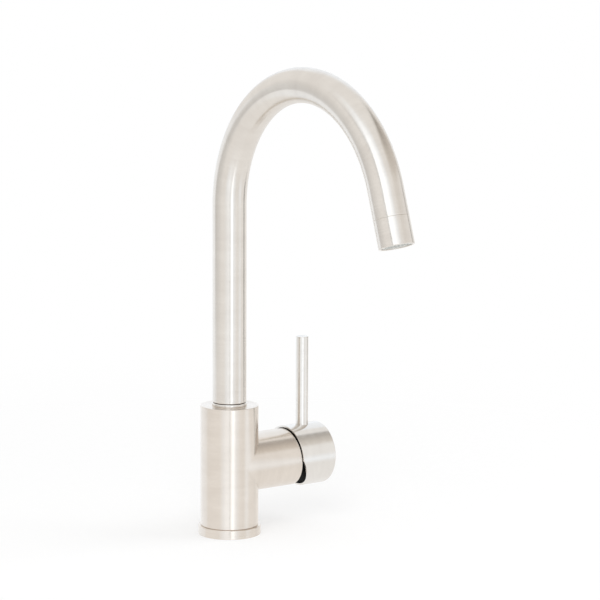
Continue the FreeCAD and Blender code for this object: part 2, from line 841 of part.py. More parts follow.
def carrier():
    """Turning guide of the spindle, its cross pin and the sliding disc with its driver."""
    guide = turned(
        "spindle_carrier",
        [
            ("0", "carrier_bottom"),
            ("carrier_flange_radius", "carrier_bottom"),
            ("carrier_flange_radius", "flange_top"),
            ("carrier_neck_radius", "flange_top"),
            ("carrier_neck_radius", "neck_top"),
            ("0", "neck_top"),
        ],
    )
    slot = new_sketch(guide, "spindle_slot", "XY_Plane", {"z": "carrier_bottom - cut_overrun"})
    half_length = "carrier_slot_length / 2"
    half_width = "carrier_slot_width / 2"
    outline(
        slot,
        [
            (half_length, half_width),
            (f"-{half_length}", half_width),
            (f"-{half_length}", f"-{half_width}"),
            (half_length, f"-{half_width}"),
        ],
    )
    extrude(guide, slot, "neck_top - carrier_bottom + cut_overrun * 2", back=True)
    across = new_sketch(guide, "cross_hole", "XZ_Plane")
    ring_of(across, "0", "pivot_reach", "pivot_pin_diameter / 2")
    extrude(guide, across, "pivot_pin_length", both=True)
    place_on_branch(guide)
    node(guide, "spindle_carrier")
    pin = solid("Cylinder", "cross_pin", Radius="pivot_pin_diameter / 2", Height="pivot_pin_length")
    place(pin, x="pivot_reach", y="pivot_pin_length / 2", z="branch_height", axis=(1, 0, 0), angle="90")
    node(pin, "pivot_pin")
    # At rest the sliding pair lies half its travel below the branch axis
    moving = ring("moving_disc", "0", "moving_disc_diameter / 2", "moving_bottom", "moving_top")
    centre = [("0", "0")]
    mixing = "mixing_bore / 2"
    drill(moving, "mixing_hollow", "XY_Plane", centre, mixing, "moving_bottom", "mixing_depth", back=True)
    place(moving, z="branch_height + disc_rest", axis=(1, 0, 1), angle="180")
    node(moving, "moving_disc")
    driver = ring("disc_driver", "0", "moving_disc_diameter / 2", "moving_top", "driver_top")
    pocket = [("-disc_rest", "0")]
    bore = "ball_radius + running_gap"
    drill(driver, "ball_pocket", "XY_Plane", pocket, bore, "moving_top", "driver_thickness", back=True)
    place(driver, z="branch_height + disc_rest", axis=(1, 0, 1), angle="180")
    node(driver, "disc_driver")


def spindle():
    """Lever spindle: ball foot, slim neck and a square bar that the handle sits on."""
    ball = solid("Sphere", "spindle_ball", Radius="ball_radius")
    place(ball, z="ball_reach")
    neck = solid("Cylinder", "spindle_neck", Radius="spindle_neck_diameter / 2", Height="spindle_neck_length")
    place(neck, z="ball_reach")
    bar_start = "ball_reach + spindle_neck_length"
    bar_length = f"spindle_end - ({bar_start})"
    bar = solid("Box", "spindle_bar", Length="spindle_width", Width="spindle_width", Height=bar_length)
    place(bar, x="-spindle_width / 2", y="-spindle_width / 2", z=bar_start)
    hole_radius = "pivot_pin_diameter / 2 + bearing_gap"
    hole = solid("Cylinder", "spindle_hole", Radius=hole_radius, Height="spindle_width + cut_overrun * 2")
    place(hole, y="spindle_width / 2 + cut_overrun", z="pivot_reach", axis=(1, 0, 0), angle="90")
    rod = cut("spindle", joined("spindle_rod", ball, neck, bar), hole)
    place_on_branch(rod)
    node(rod, "spindle")


def handle_cap():
    """Handle cap: round shell with a mouth over the dome, a square socket and a slanted rim."""
    cap = turned(
        "cap_blank",
        [
            ("0", "cap_start"),
            ("cap_radius", "cap_start"),
            ("cap_radius", "cap_end - cap_edge"),
            ("cap_radius - cap_edge", "cap_end"),
            ("0", "cap_end"),
        ],
    )
    mouth = "cap_radius - cap_wall"
    before = "cap_start - cut_overrun"
    add_turning(
        cap,
        "cap_mouth",
        [("0", before), (mouth, before), (mouth, "cap_mouth_end"), ("0", "cap_mouth_end")],
        cut=True,
    )
    # Rim: two slanted planes that meet across the branch axis, the lower one opening wide for the lift
    rim = new_sketch(cap, "rim_slants", "XZ_Plane")
    deep = "cap_radius + cut_overrun"
    outline(
        rim,
        [
            ("0", "rim_reach"),
            (deep, f"rim_reach - ({deep}) * tan(rim_slant_upper)"),
            (deep, "cap_start - cut_overrun * 2"),
            (f"-({deep})", "cap_start - cut_overrun * 2"),
            (f"-({deep})", f"rim_reach + ({deep}) * tan(rim_slant_lower)"),
        ],
    )
    extrude(cap, rim, "cap_diameter + cut_overrun", both=True)
    # Square socket for the spindle
    socket = new_sketch(cap, "spindle_socket", "XY_Plane", {"z": "spindle_end"})
    side = "spindle_width / 2 + joint_gap"
    outline(socket, [(side, side), (f"-({side})", side), (f"-({side})", f"-({side})"), (side, f"-({side})")])
    extrude(cap, socket, "spindle_end - cap_mouth_end + cut_overrun")
    # Seat and thread for the lever pin on top, thread for the clamping screw below
    stud = "pin_stud_diameter / 2 + joint_gap"
    spot = [("0", "pin_reach")]
    sink = "pin_seat - pin_stud_length - running_gap"
    seat = "pin_radius + joint_gap"
    drill(cap, "pin_thread", "YZ_Plane", spot, stud, sink, "cap_radius", back=True)
    drill(cap, "pin_spot_face", "YZ_Plane", spot, seat, "pin_seat", "cap_radius", back=True)
    spot = [("0", "handle_screw_reach")]
    screw = "handle_screw_diameter / 2 + joint_gap"
    drill(cap, "screw_thread", "YZ_Plane", spot, screw, "0", "cap_radius + cut_overrun")
    # Round hollow that clears the dome at every lift
    hollow = solid("Sphere", "cap_hollow", Radius="cap_cavity_radius")
    place(hollow, z="pivot_reach")
    shell = cut("handle_cap", cap, hollow)
    place_on_branch(shell)
    node(shell, "handle_cap")


def lever():
    """Pin lever screwed in the cap's top, and the hex-socket screw that clamps the cap to the spindle."""
    pin = turned(
        "lever_pin",
        [
            ("0", "-pin_stud_length"),
            ("pin_stud_diameter / 2", "-pin_stud_length"),
            ("pin_stud_diameter / 2", "0"),
            ("pin_radius", "0"),
            ("pin_radius", "pin_length - pin_edge"),
            ("pin_radius - pin_edge", "pin_length"),
            ("0", "pin_length"),
        ],
    )
    place(pin, x="pin_reach", z="branch_height + pin_seat")
    node(pin, "lever_pin")
    screw = turned(
        "handle_screw",
        [
            ("0", "0"),
            ("handle_screw_diameter / 2", "0"),
            ("handle_screw_diameter / 2", "handle_screw_length"),
            ("0", "handle_screw_length"),
        ],
    )
    hexagon = new_sketch(screw, "handle_screw_hex", "XY_Plane")
    outline(hexagon, hex_points("hex_socket_width"))
    extrude(screw, hexagon, "hex_socket_depth", back=True)
    place(screw, x="handle_screw_reach", z="branch_height - spindle_width / 2 - handle_screw_length")
    node(screw, "handle_screw")


def check_and_write():
    """Stop on any failed object or bad shape, then write each sub-part to its own file."""
    doc.recompute()
    for item in doc.Objects:
        if {"Invalid", "Error"} & set(item.State):
            raise SystemExit(f"{item.Name} failed: {item.State}")
    for item in nodes:
        if item.Shape.isNull() or not item.Shape.isValid() or not item.Shape.Solids:
            raise SystemExit(f"{item.Label} has no valid shape")
    os.makedirs("parts", exist_ok=True)
    for item in nodes:
        item.Shape.exportStep(f"parts/{item.Label}.step")
        print(f"{item.Label}: {len(item.Shape.Solids)} solids, {item.Shape.Volume:.0f} mm3")


body_casting()
base_ring()
swivel()
spout_tube()
spout_spigot()
spout_tip()
cartridge()
cartridge_nut()
cartridge_dome()
carrier()
spindle()
handle_cap()
lever()
check_and_write()
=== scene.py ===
import logging
import math
from collections.abc import Callable, Sequence
from dataclasses import dataclass
from enum import Enum
from functools import partial

import bmesh
import bpy
from bpy.types import ID, Material, Node, NodeSocket, NodeTree, Object, bpy_prop_collection
from mathutils import Matrix, Vector


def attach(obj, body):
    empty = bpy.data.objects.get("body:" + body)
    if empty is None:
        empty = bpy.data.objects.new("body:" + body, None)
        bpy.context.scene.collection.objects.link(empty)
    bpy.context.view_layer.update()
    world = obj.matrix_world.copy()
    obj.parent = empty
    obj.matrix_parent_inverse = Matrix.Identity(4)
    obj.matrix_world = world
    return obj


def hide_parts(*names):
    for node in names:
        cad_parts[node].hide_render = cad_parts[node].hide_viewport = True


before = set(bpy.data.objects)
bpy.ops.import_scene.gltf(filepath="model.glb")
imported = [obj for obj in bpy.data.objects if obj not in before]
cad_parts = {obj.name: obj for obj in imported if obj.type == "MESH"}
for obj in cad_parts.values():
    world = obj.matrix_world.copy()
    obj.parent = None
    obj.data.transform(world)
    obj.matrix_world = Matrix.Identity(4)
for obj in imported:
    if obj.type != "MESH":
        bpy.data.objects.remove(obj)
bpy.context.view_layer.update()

# Looks of a single-lever gooseneck kitchen mixer in brushed nickel. Lengths are in metres.

TURN_STEPS = 192
EDGE_STEPS = 4
SMOOTH_ANGLE = math.radians(30)
WELD = 1e-7
GRAIN = "grain"
BRUSH = "brush"
LEVEL = "level"
WHITE = "#FFFFFF"
UPRIGHT = Matrix.Identity(4)
# Nearly all of a noise lies between these two values.
NOISE_LOW, NOISE_HIGH = 0.3, 0.7

Inputs = dict[str | int, object] | tuple[object, ...]

log = logging.getLogger("kitchen_mixer")


class Slot(Enum):
    """Material slots of the record."""

    NICKEL = "brushed_nickel"
    BRASS = "plain_brass"
    STEEL = "screw_steel"
    BLACK_PLASTIC = "black_plastic"
    ACETAL = "white_acetal"
    AERATOR_PLASTIC = "aerator_plastic"
    CERAMIC = "disc_ceramic"
    RUBBER = "seal_rubber"


class Rider(Enum):
    """CAD bodies that pieces move with."""

    BODY = "body"
    SPOUT = "spout"
    LEVER = "lever"


def linear(code: str) -> tuple[float, float, float, float]:
    """Turn an sRGB hex colour into linear values.

    Args:
        code: six hex digits after a hash sign.

    Returns:
        Linear red, green, blue and an alpha of 1.
    """
    channels = (int(code[i : i + 2], 16) / 255 for i in (1, 3, 5))
    red, green, blue = (
        c / 12.92 if c <= 0.04045 else ((c + 0.055) / 1.055) ** 2.4 for c in channels
    )
    return red, green, blue, 1.0


def add_node(tree: NodeTree, kind: str, inputs: Inputs = (), **settings: object) -> Node:
    """Add one node, set its own settings and fill its inputs.

    Args:
        tree: node tree that takes the node.
        kind: type of the node.
        inputs: by name or in order, each a value, a socket or node to link, or a list of nodes.
        settings: properties of the node itself.

    Returns:
        The new node.
    """
    node = tree.nodes.new(kind)
    for key, value in settings.items():
        setattr(node, key, value)
    for key, value in inputs.items() if isinstance(inputs, dict) else enumerate(inputs):
        for source in value if isinstance(value, list) else [value]:
            if isinstance(source, Node):
                source = source.outputs[0]
            if isinstance(source, NodeSocket):
                tree.links.new(source, node.inputs[key])
            else:
                node.inputs[key].default_value = source
    return node


def blank_material(name: str) -> Material:
    """Start a material with an empty node tree.

    Args:
        name: name of the material.

    Returns:
        The material.
    """
    material = bpy.data.materials.new(name)
    material.use_nodes = True
    material.node_tree.nodes.clear()
    return material


def noise(tree: NodeTree, vector: NodeSocket, size: Sequence[float], depth: float = 3.0) -> Node:
    """Noise whose features have a real size along each axis.

    Args:
        tree: node tree of the material.
        vector: coordinates in metres.
        size: feature size along the three axes, in metres.
        depth: number of finer layers of the noise.

    Returns:
        The noise, about 0.5 on average.
    """
    scale = tuple(1 / length for length in size)
    mapped = add_node(tree, "ShaderNodeMapping", {"Vector": vector, "Scale": scale})
    return add_node(tree, "ShaderNodeTexNoise", {"Vector": mapped, "Scale": 1.0, "Detail": depth})


def blend(tree: NodeTree, factor: Node, first: str, second: str) -> Node:
    """Blend two colours by a pattern.

    Args:
        tree: node tree of the material.
        factor: pattern from 0 to 1.
        first: sRGB hex colour at 0.
        second: sRGB hex colour at 1.

    Returns:
        The blended colour.
    """
    ramp = add_node(tree, "ShaderNodeValToRGB", {"Fac": factor})
    for element, code in zip(ramp.color_ramp.elements, (first, second)):
        element.color = linear(code)
    return ramp


@dataclass(frozen=True)
class Finish:
    """A material and how it was made; each kind adds its own detail to the shader."""

    name: str
    colour: str
    roughness: float

    def material(self) -> Material:
        """Build the material once and hand it out again later.

        Returns:
            The finished node material.
        """
        found = bpy.data.materials.get(self.name)
        if found:
            return found
        material = blank_material(self.name)
        tree = material.node_tree
        shader = add_node(tree, "ShaderNodeBsdfPrincipled", self.detail(tree))
        add_node(tree, "ShaderNodeOutputMaterial", {"Surface": shader})
        return material

    def detail(self, tree: NodeTree) -> Inputs:
        """Build the surface detail of this finish.

        Args:
            tree: node tree of the material.

        Returns:
            Inputs of the principled shader.
        """
        raise NotImplementedError

    def uneven(self, tree: NodeTree, pattern: Node, smoother: float, rougher: float) -> Node:
        """Roughness that changes with a noise.

        Args:
            tree: node tree of the material.
            pattern: the noise.
            smoother: what its low parts take off the roughness.
            rougher: what its high parts add to it.

        Returns:
            The roughness.
        """
        limits = {
            "Value": pattern,
            "From Min": NOISE_LOW,
            "From Max": NOISE_HIGH,
            "To Min": self.roughness - smoother,
            "To Max": self.roughness + rougher,
        }
        return add_node(tree, "ShaderNodeMapRange", limits)


@dataclass(frozen=True)
class BrushedNickel(Finish):
    """Nickel plate brushed round each form, then lacquered: soft streaks and crisp bands."""

    streak: str = "#E4DBD1"
    line_width: float = 0.0003
    line_length: float = 0.02
    line_depth: float = 0.0000012
    cloud_size: tuple[float, ...] = (0.03, 0.03, 0.012)
    anisotropy: float = 0.75
    # Microscopic grooves run round, so the sheen spreads along the axis, a quarter turn from them.
    sheen_turn: float = 0.25
    smoother: float = 0.02
    rougher: float = 0.03
    edge_polish: float = 0.08
    edge_start: float = 0.51
    edge_full: float = 0.6

    def detail(self, tree: NodeTree) -> Inputs:
        """Brushed lines in colour, gloss and relief, with smoother edges that carry a painted
        highlight.

        Args:
            tree: node tree of the material.

        Returns:
            Inputs of the principled shader.
        """
        calc = partial(add_node, tree, "ShaderNodeMath")
        grain = add_node(tree, "ShaderNodeAttribute", attribute_name=GRAIN).outputs["Vector"]
        # Real brush lines are about 0.05 mm apart; these are coarser, to show from afar.
        line_size = (self.line_length, self.line_length, self.line_width)
        lines = noise(tree, grain, line_size, depth=4.0)
        clouds = noise(tree, grain, self.cloud_size, depth=2.0)
        both = calc((lines, clouds), operation="ADD")
        shades = {"Value": both, "From Min": 2 * NOISE_LOW, "From Max": 2 * NOISE_HIGH}
        shade = add_node(tree, "ShaderNodeMapRange", shades)
        # Handling polishes the edges, so they are a little smoother than the flats; their paler
        # colour is a painted highlight.
        bend = add_node(tree, "ShaderNodeNewGeometry").outputs["Pointiness"]
        polish_and_highlight_span = {"Value": bend, "From Min": self.edge_start, "From Max": self.edge_full}
        polish_and_highlight = add_node(tree, "ShaderNodeMapRange", polish_and_highlight_span)
        lit = calc((shade, polish_and_highlight), operation="MAXIMUM")
        rough = self.uneven(tree, lines, self.smoother, self.rougher)
        polish = calc((polish_and_highlight, self.edge_polish), operation="MULTIPLY")
        # The brush runs round each form; its direction turns with the piece.
        brush = add_node(tree, "ShaderNodeAttribute", attribute_name=BRUSH).outputs["Vector"]
        turn = {"vector_type": "VECTOR", "convert_from": "OBJECT", "convert_to": "WORLD"}
        relief = {"Height": lines, "Distance": self.line_depth}
        return {
            "Metallic": 1.0,
            "Anisotropic": self.anisotropy,
            "Anisotropic Rotation": self.sheen_turn,
            "Base Color": blend(tree, lit, self.colour, self.streak),
            "Roughness": calc((rough, polish), operation="SUBTRACT"),
            "Normal": add_node(tree, "ShaderNodeBump", relief),
            "Tangent": add_node(tree, "ShaderNodeVectorTransform", {"Vector": brush}, **turn),
        }


@dataclass(frozen=True)
class Moulded(Finish):
    """Injection-moulded plastic: a fine even grain from the mould, slightly uneven gloss."""

    fleck: str = "#000000"
    grain: float = 0.0004
    grain_depth: float = 0.00001
    shine: float = 0.5
    drift: float = 0.006
    gloss_change: float = 0.06

    def detail(self, tree: NodeTree) -> Inputs:
        """Mould grain in the relief, and slow changes of gloss and tone.

        Args:
            tree: node tree of the material.

        Returns:
            Inputs of the principled shader.
        """
        place = add_node(tree, "ShaderNodeTexCoord").outputs["Object"]
        fine = noise(tree, place, (self.grain,) * 3)
        slow = noise(tree, place, (self.drift,) * 3, depth=2.0)
        relief = {"Height": fine, "Distance": self.grain_depth}
        return {
            "Specular IOR Level": self.shine,
            "Base Color": blend(tree, slow, self.colour, self.fleck),
            "Roughness": self.uneven(tree, slow, self.gloss_change, self.gloss_change),
            "Normal": add_node(tree, "ShaderNodeBump", relief),
        }


@dataclass(frozen=True)
class Machined(Finish):
    """Bare machined metal: fine tool marks and a film of tarnish in patches."""

    tarnish: str = "#000000"
    mark: float = 0.0003
    mark_stretch: float = 6
    mark_depth: float = 0.000008
    patch: float = 0.004
    smoother: float = 0.08
    rougher: float = 0.12

    def detail(self, tree: NodeTree) -> Inputs:
        """Tool marks in the relief, tarnish in the gloss and colour.

        Args:
            tree: node tree of the material.

        Returns:
            Inputs of the principled shader.
        """
        place = add_node(tree, "ShaderNodeTexCoord").outputs["Object"]
        marks = noise(tree, place, (self.mark, self.mark * self.mark_stretch, self.mark))
        film = noise(tree, place, (self.patch,) * 3, depth=4.0)
        relief = {"Height": marks, "Distance": self.mark_depth}
        return {
            "Metallic": 1.0,
            "Base Color": blend(tree, film, self.colour, self.tarnish),
            "Roughness": self.uneven(tree, film, self.smoother, self.rougher),
            "Normal": add_node(tree, "ShaderNodeBump", relief),
        }


FINISHES: dict[Slot, Finish] = {
    # Warm pale metal with soft bands along the tubes.
    Slot.NICKEL: BrushedNickel("nickel_plate_brushed_warm", "#D9CFC4", 0.22),
    # Dull yellow metal inside the valve.
    Slot.BRASS: Machined("brass_turned_bare", "#C9A862", 0.32, "#A98549"),
    # Grey, slightly blue screws.
    Slot.STEEL: Machined("steel_zinc_plated", "#B9BCBE", 0.3, "#9A9DA3"),
    # Near-black shadow in the handle's gap, too matt to catch the floor's light.
    Slot.BLACK_PLASTIC: Moulded(
        "abs_plastic_black_and_gap_shade", "#242423", 0.6, "#2C2C2A", shine=0.15
    ),
    # Cream, waxy plastic of the cartridge.
    Slot.ACETAL: Moulded("acetal_moulded_white", "#EDEBE4", 0.35, "#E2DFD5"),
    # Pale grey insert seen from under the outlet.
    Slot.AERATOR_PLASTIC: Moulded(
        "pom_moulded_pale_grey", "#E8E9E6", 0.4, "#DDDEDA", grain=0.0003
    ),
    # Cold white, lapped ceramic with a tight speckle.
    Slot.CERAMIC: Moulded(
        "alumina_pressed_and_lapped", "#F0ECE6", 0.16, "#DED8D0", grain=0.0002, grain_depth=0.000002
    ),
    # Soft black rubber with a grey bloom.
    Slot.RUBBER: Moulded(
        "nitrile_rubber_moulded", "#1E1E1F", 0.7, "#333334", grain=0.0005, grain_depth=0.00002
    ),
}
# The spout's nickel is a shade cooler than the body's.
SPOUT_NICKEL = BrushedNickel("nickel_plate_brushed_neutral", "#D8D1C9", 0.22, "#E3DDD5")
# The handle and the swivel collar are the palest, with hardly any yellow in them.
HANDLE_NICKEL = BrushedNickel("nickel_plate_brushed_pale", "#DDD8D2", 0.22, "#E8E4DE")


@dataclass(frozen=True)
class Corner:
    """Corner of a turned section, from the section's own origin."""

    radius: float
    height: float
    edge: float = 0.0


@dataclass(frozen=True)
class Knot:
    """Point of a ring on a surface, with what the brushed finish needs there."""

    point: Vector
    grain: Vector
    brush: Vector


Ring = list[Knot]
Shift = Callable[[float, float], float]


def rounded(corners: Sequence[Corner]) -> list[tuple[float, float]]:
    """Round the corners of an open section.

    Args:
        corners: the section's corners in order.

    Returns:
        Points of the section as radius and height.
    """
    points: list[tuple[float, float]] = []
    for i, corner in enumerate(corners):
        spot = Vector((corner.radius, corner.height))
        if not corner.edge or i in (0, len(corners) - 1):
            points.append(tuple(spot))
            continue
        before = Vector((corners[i - 1].radius, corners[i - 1].height)) - spot
        after = Vector((corners[i + 1].radius, corners[i + 1].height)) - spot
        start = spot + before.normalized() * corner.edge
        end = spot + after.normalized() * corner.edge
        for k in range(EDGE_STEPS + 1):
            t = k / EDGE_STEPS
            points.append(tuple(start * (1 - t) ** 2 + spot * 2 * t * (1 - t) + end * t**2))
    return points


def rings(corners: Sequence[Corner], place: Matrix, shift: Shift | None = None) -> list[Ring]:
    """Turn a section about its own Z and lay the rings in the row frame.

    Args:
        corners: the section's corners in order.
        place: the section's own frame in the row frame.
        shift: extra height at a radius and an angle, for a slanted end.

    Returns:
        One ring of knots for each point of the rounded section.
    """
    turn = place.to_3x3()
    result: list[Ring] = []
    run = 0.0
    last: Vector | None = None
    for radius, height in rounded(corners):
        spot = Vector((radius, height))
        run += (spot - last).length if last is not None else 0.0
        last = spot
        ring: Ring = []
        for step in range(TURN_STEPS):
            angle = math.tau * step / TURN_STEPS
            cos, sin = math.cos(angle), math.sin(angle)
            lift = shift(radius, angle) if shift else 0.0
            point = place @ Vector((radius * cos, radius * sin, height + lift))
            grain = Vector((radius * cos, radius * sin, run))
            ring.append(Knot(point, grain, turn @ Vector((-sin, cos, 0.0))))
        result.append(ring)
    return result


class Draft:
    """Mesh in the making; every face corner carries the brushed finish's grain and direction."""

    def __init__(self) -> None:
        """Start an empty mesh with its two corner layers."""
        self.mesh = bmesh.new()
        self.grain = self.mesh.loops.layers.float_vector.new(GRAIN)
        self.brush = self.mesh.loops.layers.float_vector.new(BRUSH)

    def loft(self, surface: Sequence[Ring]) -> "Draft":
        """Join rings of knots by faces.

        Args:
            surface: rings of equal length, in order.

        Returns:
            This draft.
        """
        rows = [[self.mesh.verts.new(knot.point) for knot in ring] for ring in surface]
        for i in range(len(surface) - 1):
            for j in range(TURN_STEPS):
                k = (j + 1) % TURN_STEPS
                corners = ((i, j), (i, k), (i + 1, k), (i + 1, j))
                face = self.mesh.faces.new([rows[row][column] for row, column in corners])
                for loop, (row, column) in zip(face.loops, corners):
                    loop[self.grain] = surface[row][column].grain
                    loop[self.brush] = surface[row][column].brush
        return self

    def close(self, name: str) -> Object:
        """Weld the rings into one closed skin and make an object of it.

        Args:
            name: name of the piece.

        Returns:
            The piece, at the origin.
        """
        bmesh.ops.remove_doubles(self.mesh, verts=self.mesh.verts, dist=WELD)
        bmesh.ops.dissolve_degenerate(self.mesh, edges=self.mesh.edges, dist=WELD)
        bmesh.ops.recalc_face_normals(self.mesh, faces=self.mesh.faces)
        data = bpy.data.meshes.new(name)
        self.mesh.to_mesh(data)
        self.mesh.free()
        return add_object(name, data)


def add_object(name: str, data: ID) -> Object:
    """Put an object in the scene.

    Args:
        name: name of the object.
        data: its mesh, lamp or camera.

    Returns:
        The new object.
    """
    item = bpy.data.objects.new(name, data)
    bpy.context.scene.collection.objects.link(item)
    return item


def hide_from(item: Object, *rays: str) -> None:
    """Keep an object out of sight of some kinds of rays."""
    for ray in rays:
        setattr(item, f"visible_{ray}", False)


def settle(item: Object) -> None:
    """Work an object's modifiers into its mesh.

    Args:
        item: object that keeps only the result.
    """
    graph = bpy.context.evaluated_depsgraph_get()
    data = bpy.data.meshes.new_from_object(item.evaluated_get(graph), depsgraph=graph)
    item.modifiers.clear()
    old = item.data
    item.data = data
    data.name = item.name
    bpy.data.meshes.remove(old)


def drill(item: Object, holes: Sequence[Object]) -> None:
    """Cut holes in a piece.

    Args:
        item: the piece.
        holes: closed cutters, which are used up.
    """
    for hole in holes:
        cut = item.modifiers.new("hole", "BOOLEAN")
        cut.operation = "DIFFERENCE"
        cut.solver = "EXACT"
        cut.object = hole
        settle(item)
        data = hole.data
        bpy.data.objects.remove(hole)
        bpy.data.meshes.remove(data)


def start_tree(name: str, numbers: Sequence[str]) -> tuple[NodeTree, bpy_prop_collection]:
    """Start a geometry tree that takes geometry, named numbers and a material.

    Args:
        name: name of the tree.
        numbers: names of its number inputs.

    Returns:
        The tree and the sockets of its inputs.
    """
    tree = bpy.data.node_groups.new(name, "GeometryNodeTree")
    kinds = {"Geometry": "Geometry", **dict.fromkeys(numbers, "Float"), "Material": "Material"}
    for label, kind in kinds.items():
        tree.interface.new_socket(label, in_out="INPUT", socket_type=f"NodeSocket{kind}")
    tree.interface.new_socket("Geometry", in_out="OUTPUT", socket_type="NodeSocketGeometry")
    return tree, add_node(tree, "NodeGroupInput").outputs


def end_tree(tree: NodeTree, shape: Node, material: NodeSocket) -> None:
    """End a geometry tree in real geometry with its material.

    Args:
        tree: the tree.
        shape: node that gives its geometry.
        material: its material input.
    """
    real = add_node(tree, "GeometryNodeRealizeInstances", {"Geometry": shape})
    dressed = add_node(tree, "GeometryNodeSetMaterial", {"Geometry": real, "Material": material})
    add_node(tree, "NodeGroupOutput", (dressed,))


def run_tree(item: Object, tree: NodeTree, values: dict[str, object]) -> None:
    """Run a geometry tree on an object with its inputs set, and keep the mesh.

    Args:
        item: object that takes the result.
        tree: geometry node tree.
        values: value of each named input.
    """
    modifier = item.modifiers.new(tree.name, "NODES")
    modifier.node_group = tree
    for socket in tree.interface.items_tree:
        if socket.item_type == "SOCKET" and socket.in_out == "INPUT" and socket.name in values:
            modifier[socket.identifier] = values[socket.name]
    settle(item)


def smooth(item: Object) -> None:
    """Shade a piece smooth, with crisp edges and flat faces kept flat by their area.

    Args:
        item: the piece.
    """
    item.data.shade_smooth()
    item.data.set_sharp_from_angle(angle=SMOOTH_ANGLE)
    weighted = item.modifiers.new("weighted", "WEIGHTED_NORMAL")
    weighted.keep_sharp = True
    settle(item)


def make_piece(
    name: str, surfaces: Sequence[Sequence[Ring]], holes: Sequence[Object] = ()
) -> Object:
    """Join surfaces in one closed piece, cut its holes and smooth it.

    Args:
        name: name of the piece.
        surfaces: rows of rings that meet at their ends.
        holes: closed cutters, which are used up.

    Returns:
        The piece, at the origin.
    """
    draft = Draft()
    for surface in surfaces:
        draft.loft(surface)
    item = draft.close(name)
    drill(item, holes)
    smooth(item)
    return item


def hand_over(
    item: Object, slot: Slot, rider: Rider, node: str, finish: Finish | None = None
) -> Object:
    """Dress a finished piece, set it on its body and hide the CAD node it stands for.

    Args:
        item: the piece.
        slot: material slot of the node.
        rider: body that it moves with.
        node: CAD node that it replaces.
        finish: its own finish, where that isn't the slot's.

    Returns:
        The piece.
    """
    item.data.materials.clear()
    item.data.materials.append((finish or FINISHES[slot]).material())
    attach(item, rider.value)
    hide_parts(node)
    log.info("%s: %d faces, rides on %s", item.name, len(item.data.polygons), rider.value)
    return item


def hole_cutter(name: str, radius: float, start: Vector, end: Vector) -> Object:
    """Closed round cutter between two points.

    Args:
        name: name of the cutter.
        radius: radius of the hole.
        start: middle of one end.
        end: middle of the other end.

    Returns:
        The cutter.
    """
    along = end - start
    place = Matrix.Translation(start) @ along.to_track_quat("Z", "Y").to_matrix().to_4x4()
    depth = along.length
    corners = [Corner(0, 0), Corner(radius, 0), Corner(radius, depth), Corner(0, depth)]
    return Draft().loft(rings(corners, place)).close(name)


def branch_frame(height: float) -> Matrix:
    """Frame at the branch's height, with Z out along the valve branch and X up."""
    return Matrix(((0, 0, 1, 0), (0, -1, 0, 0), (1, 0, 0, height), (0, 0, 0, 1)))


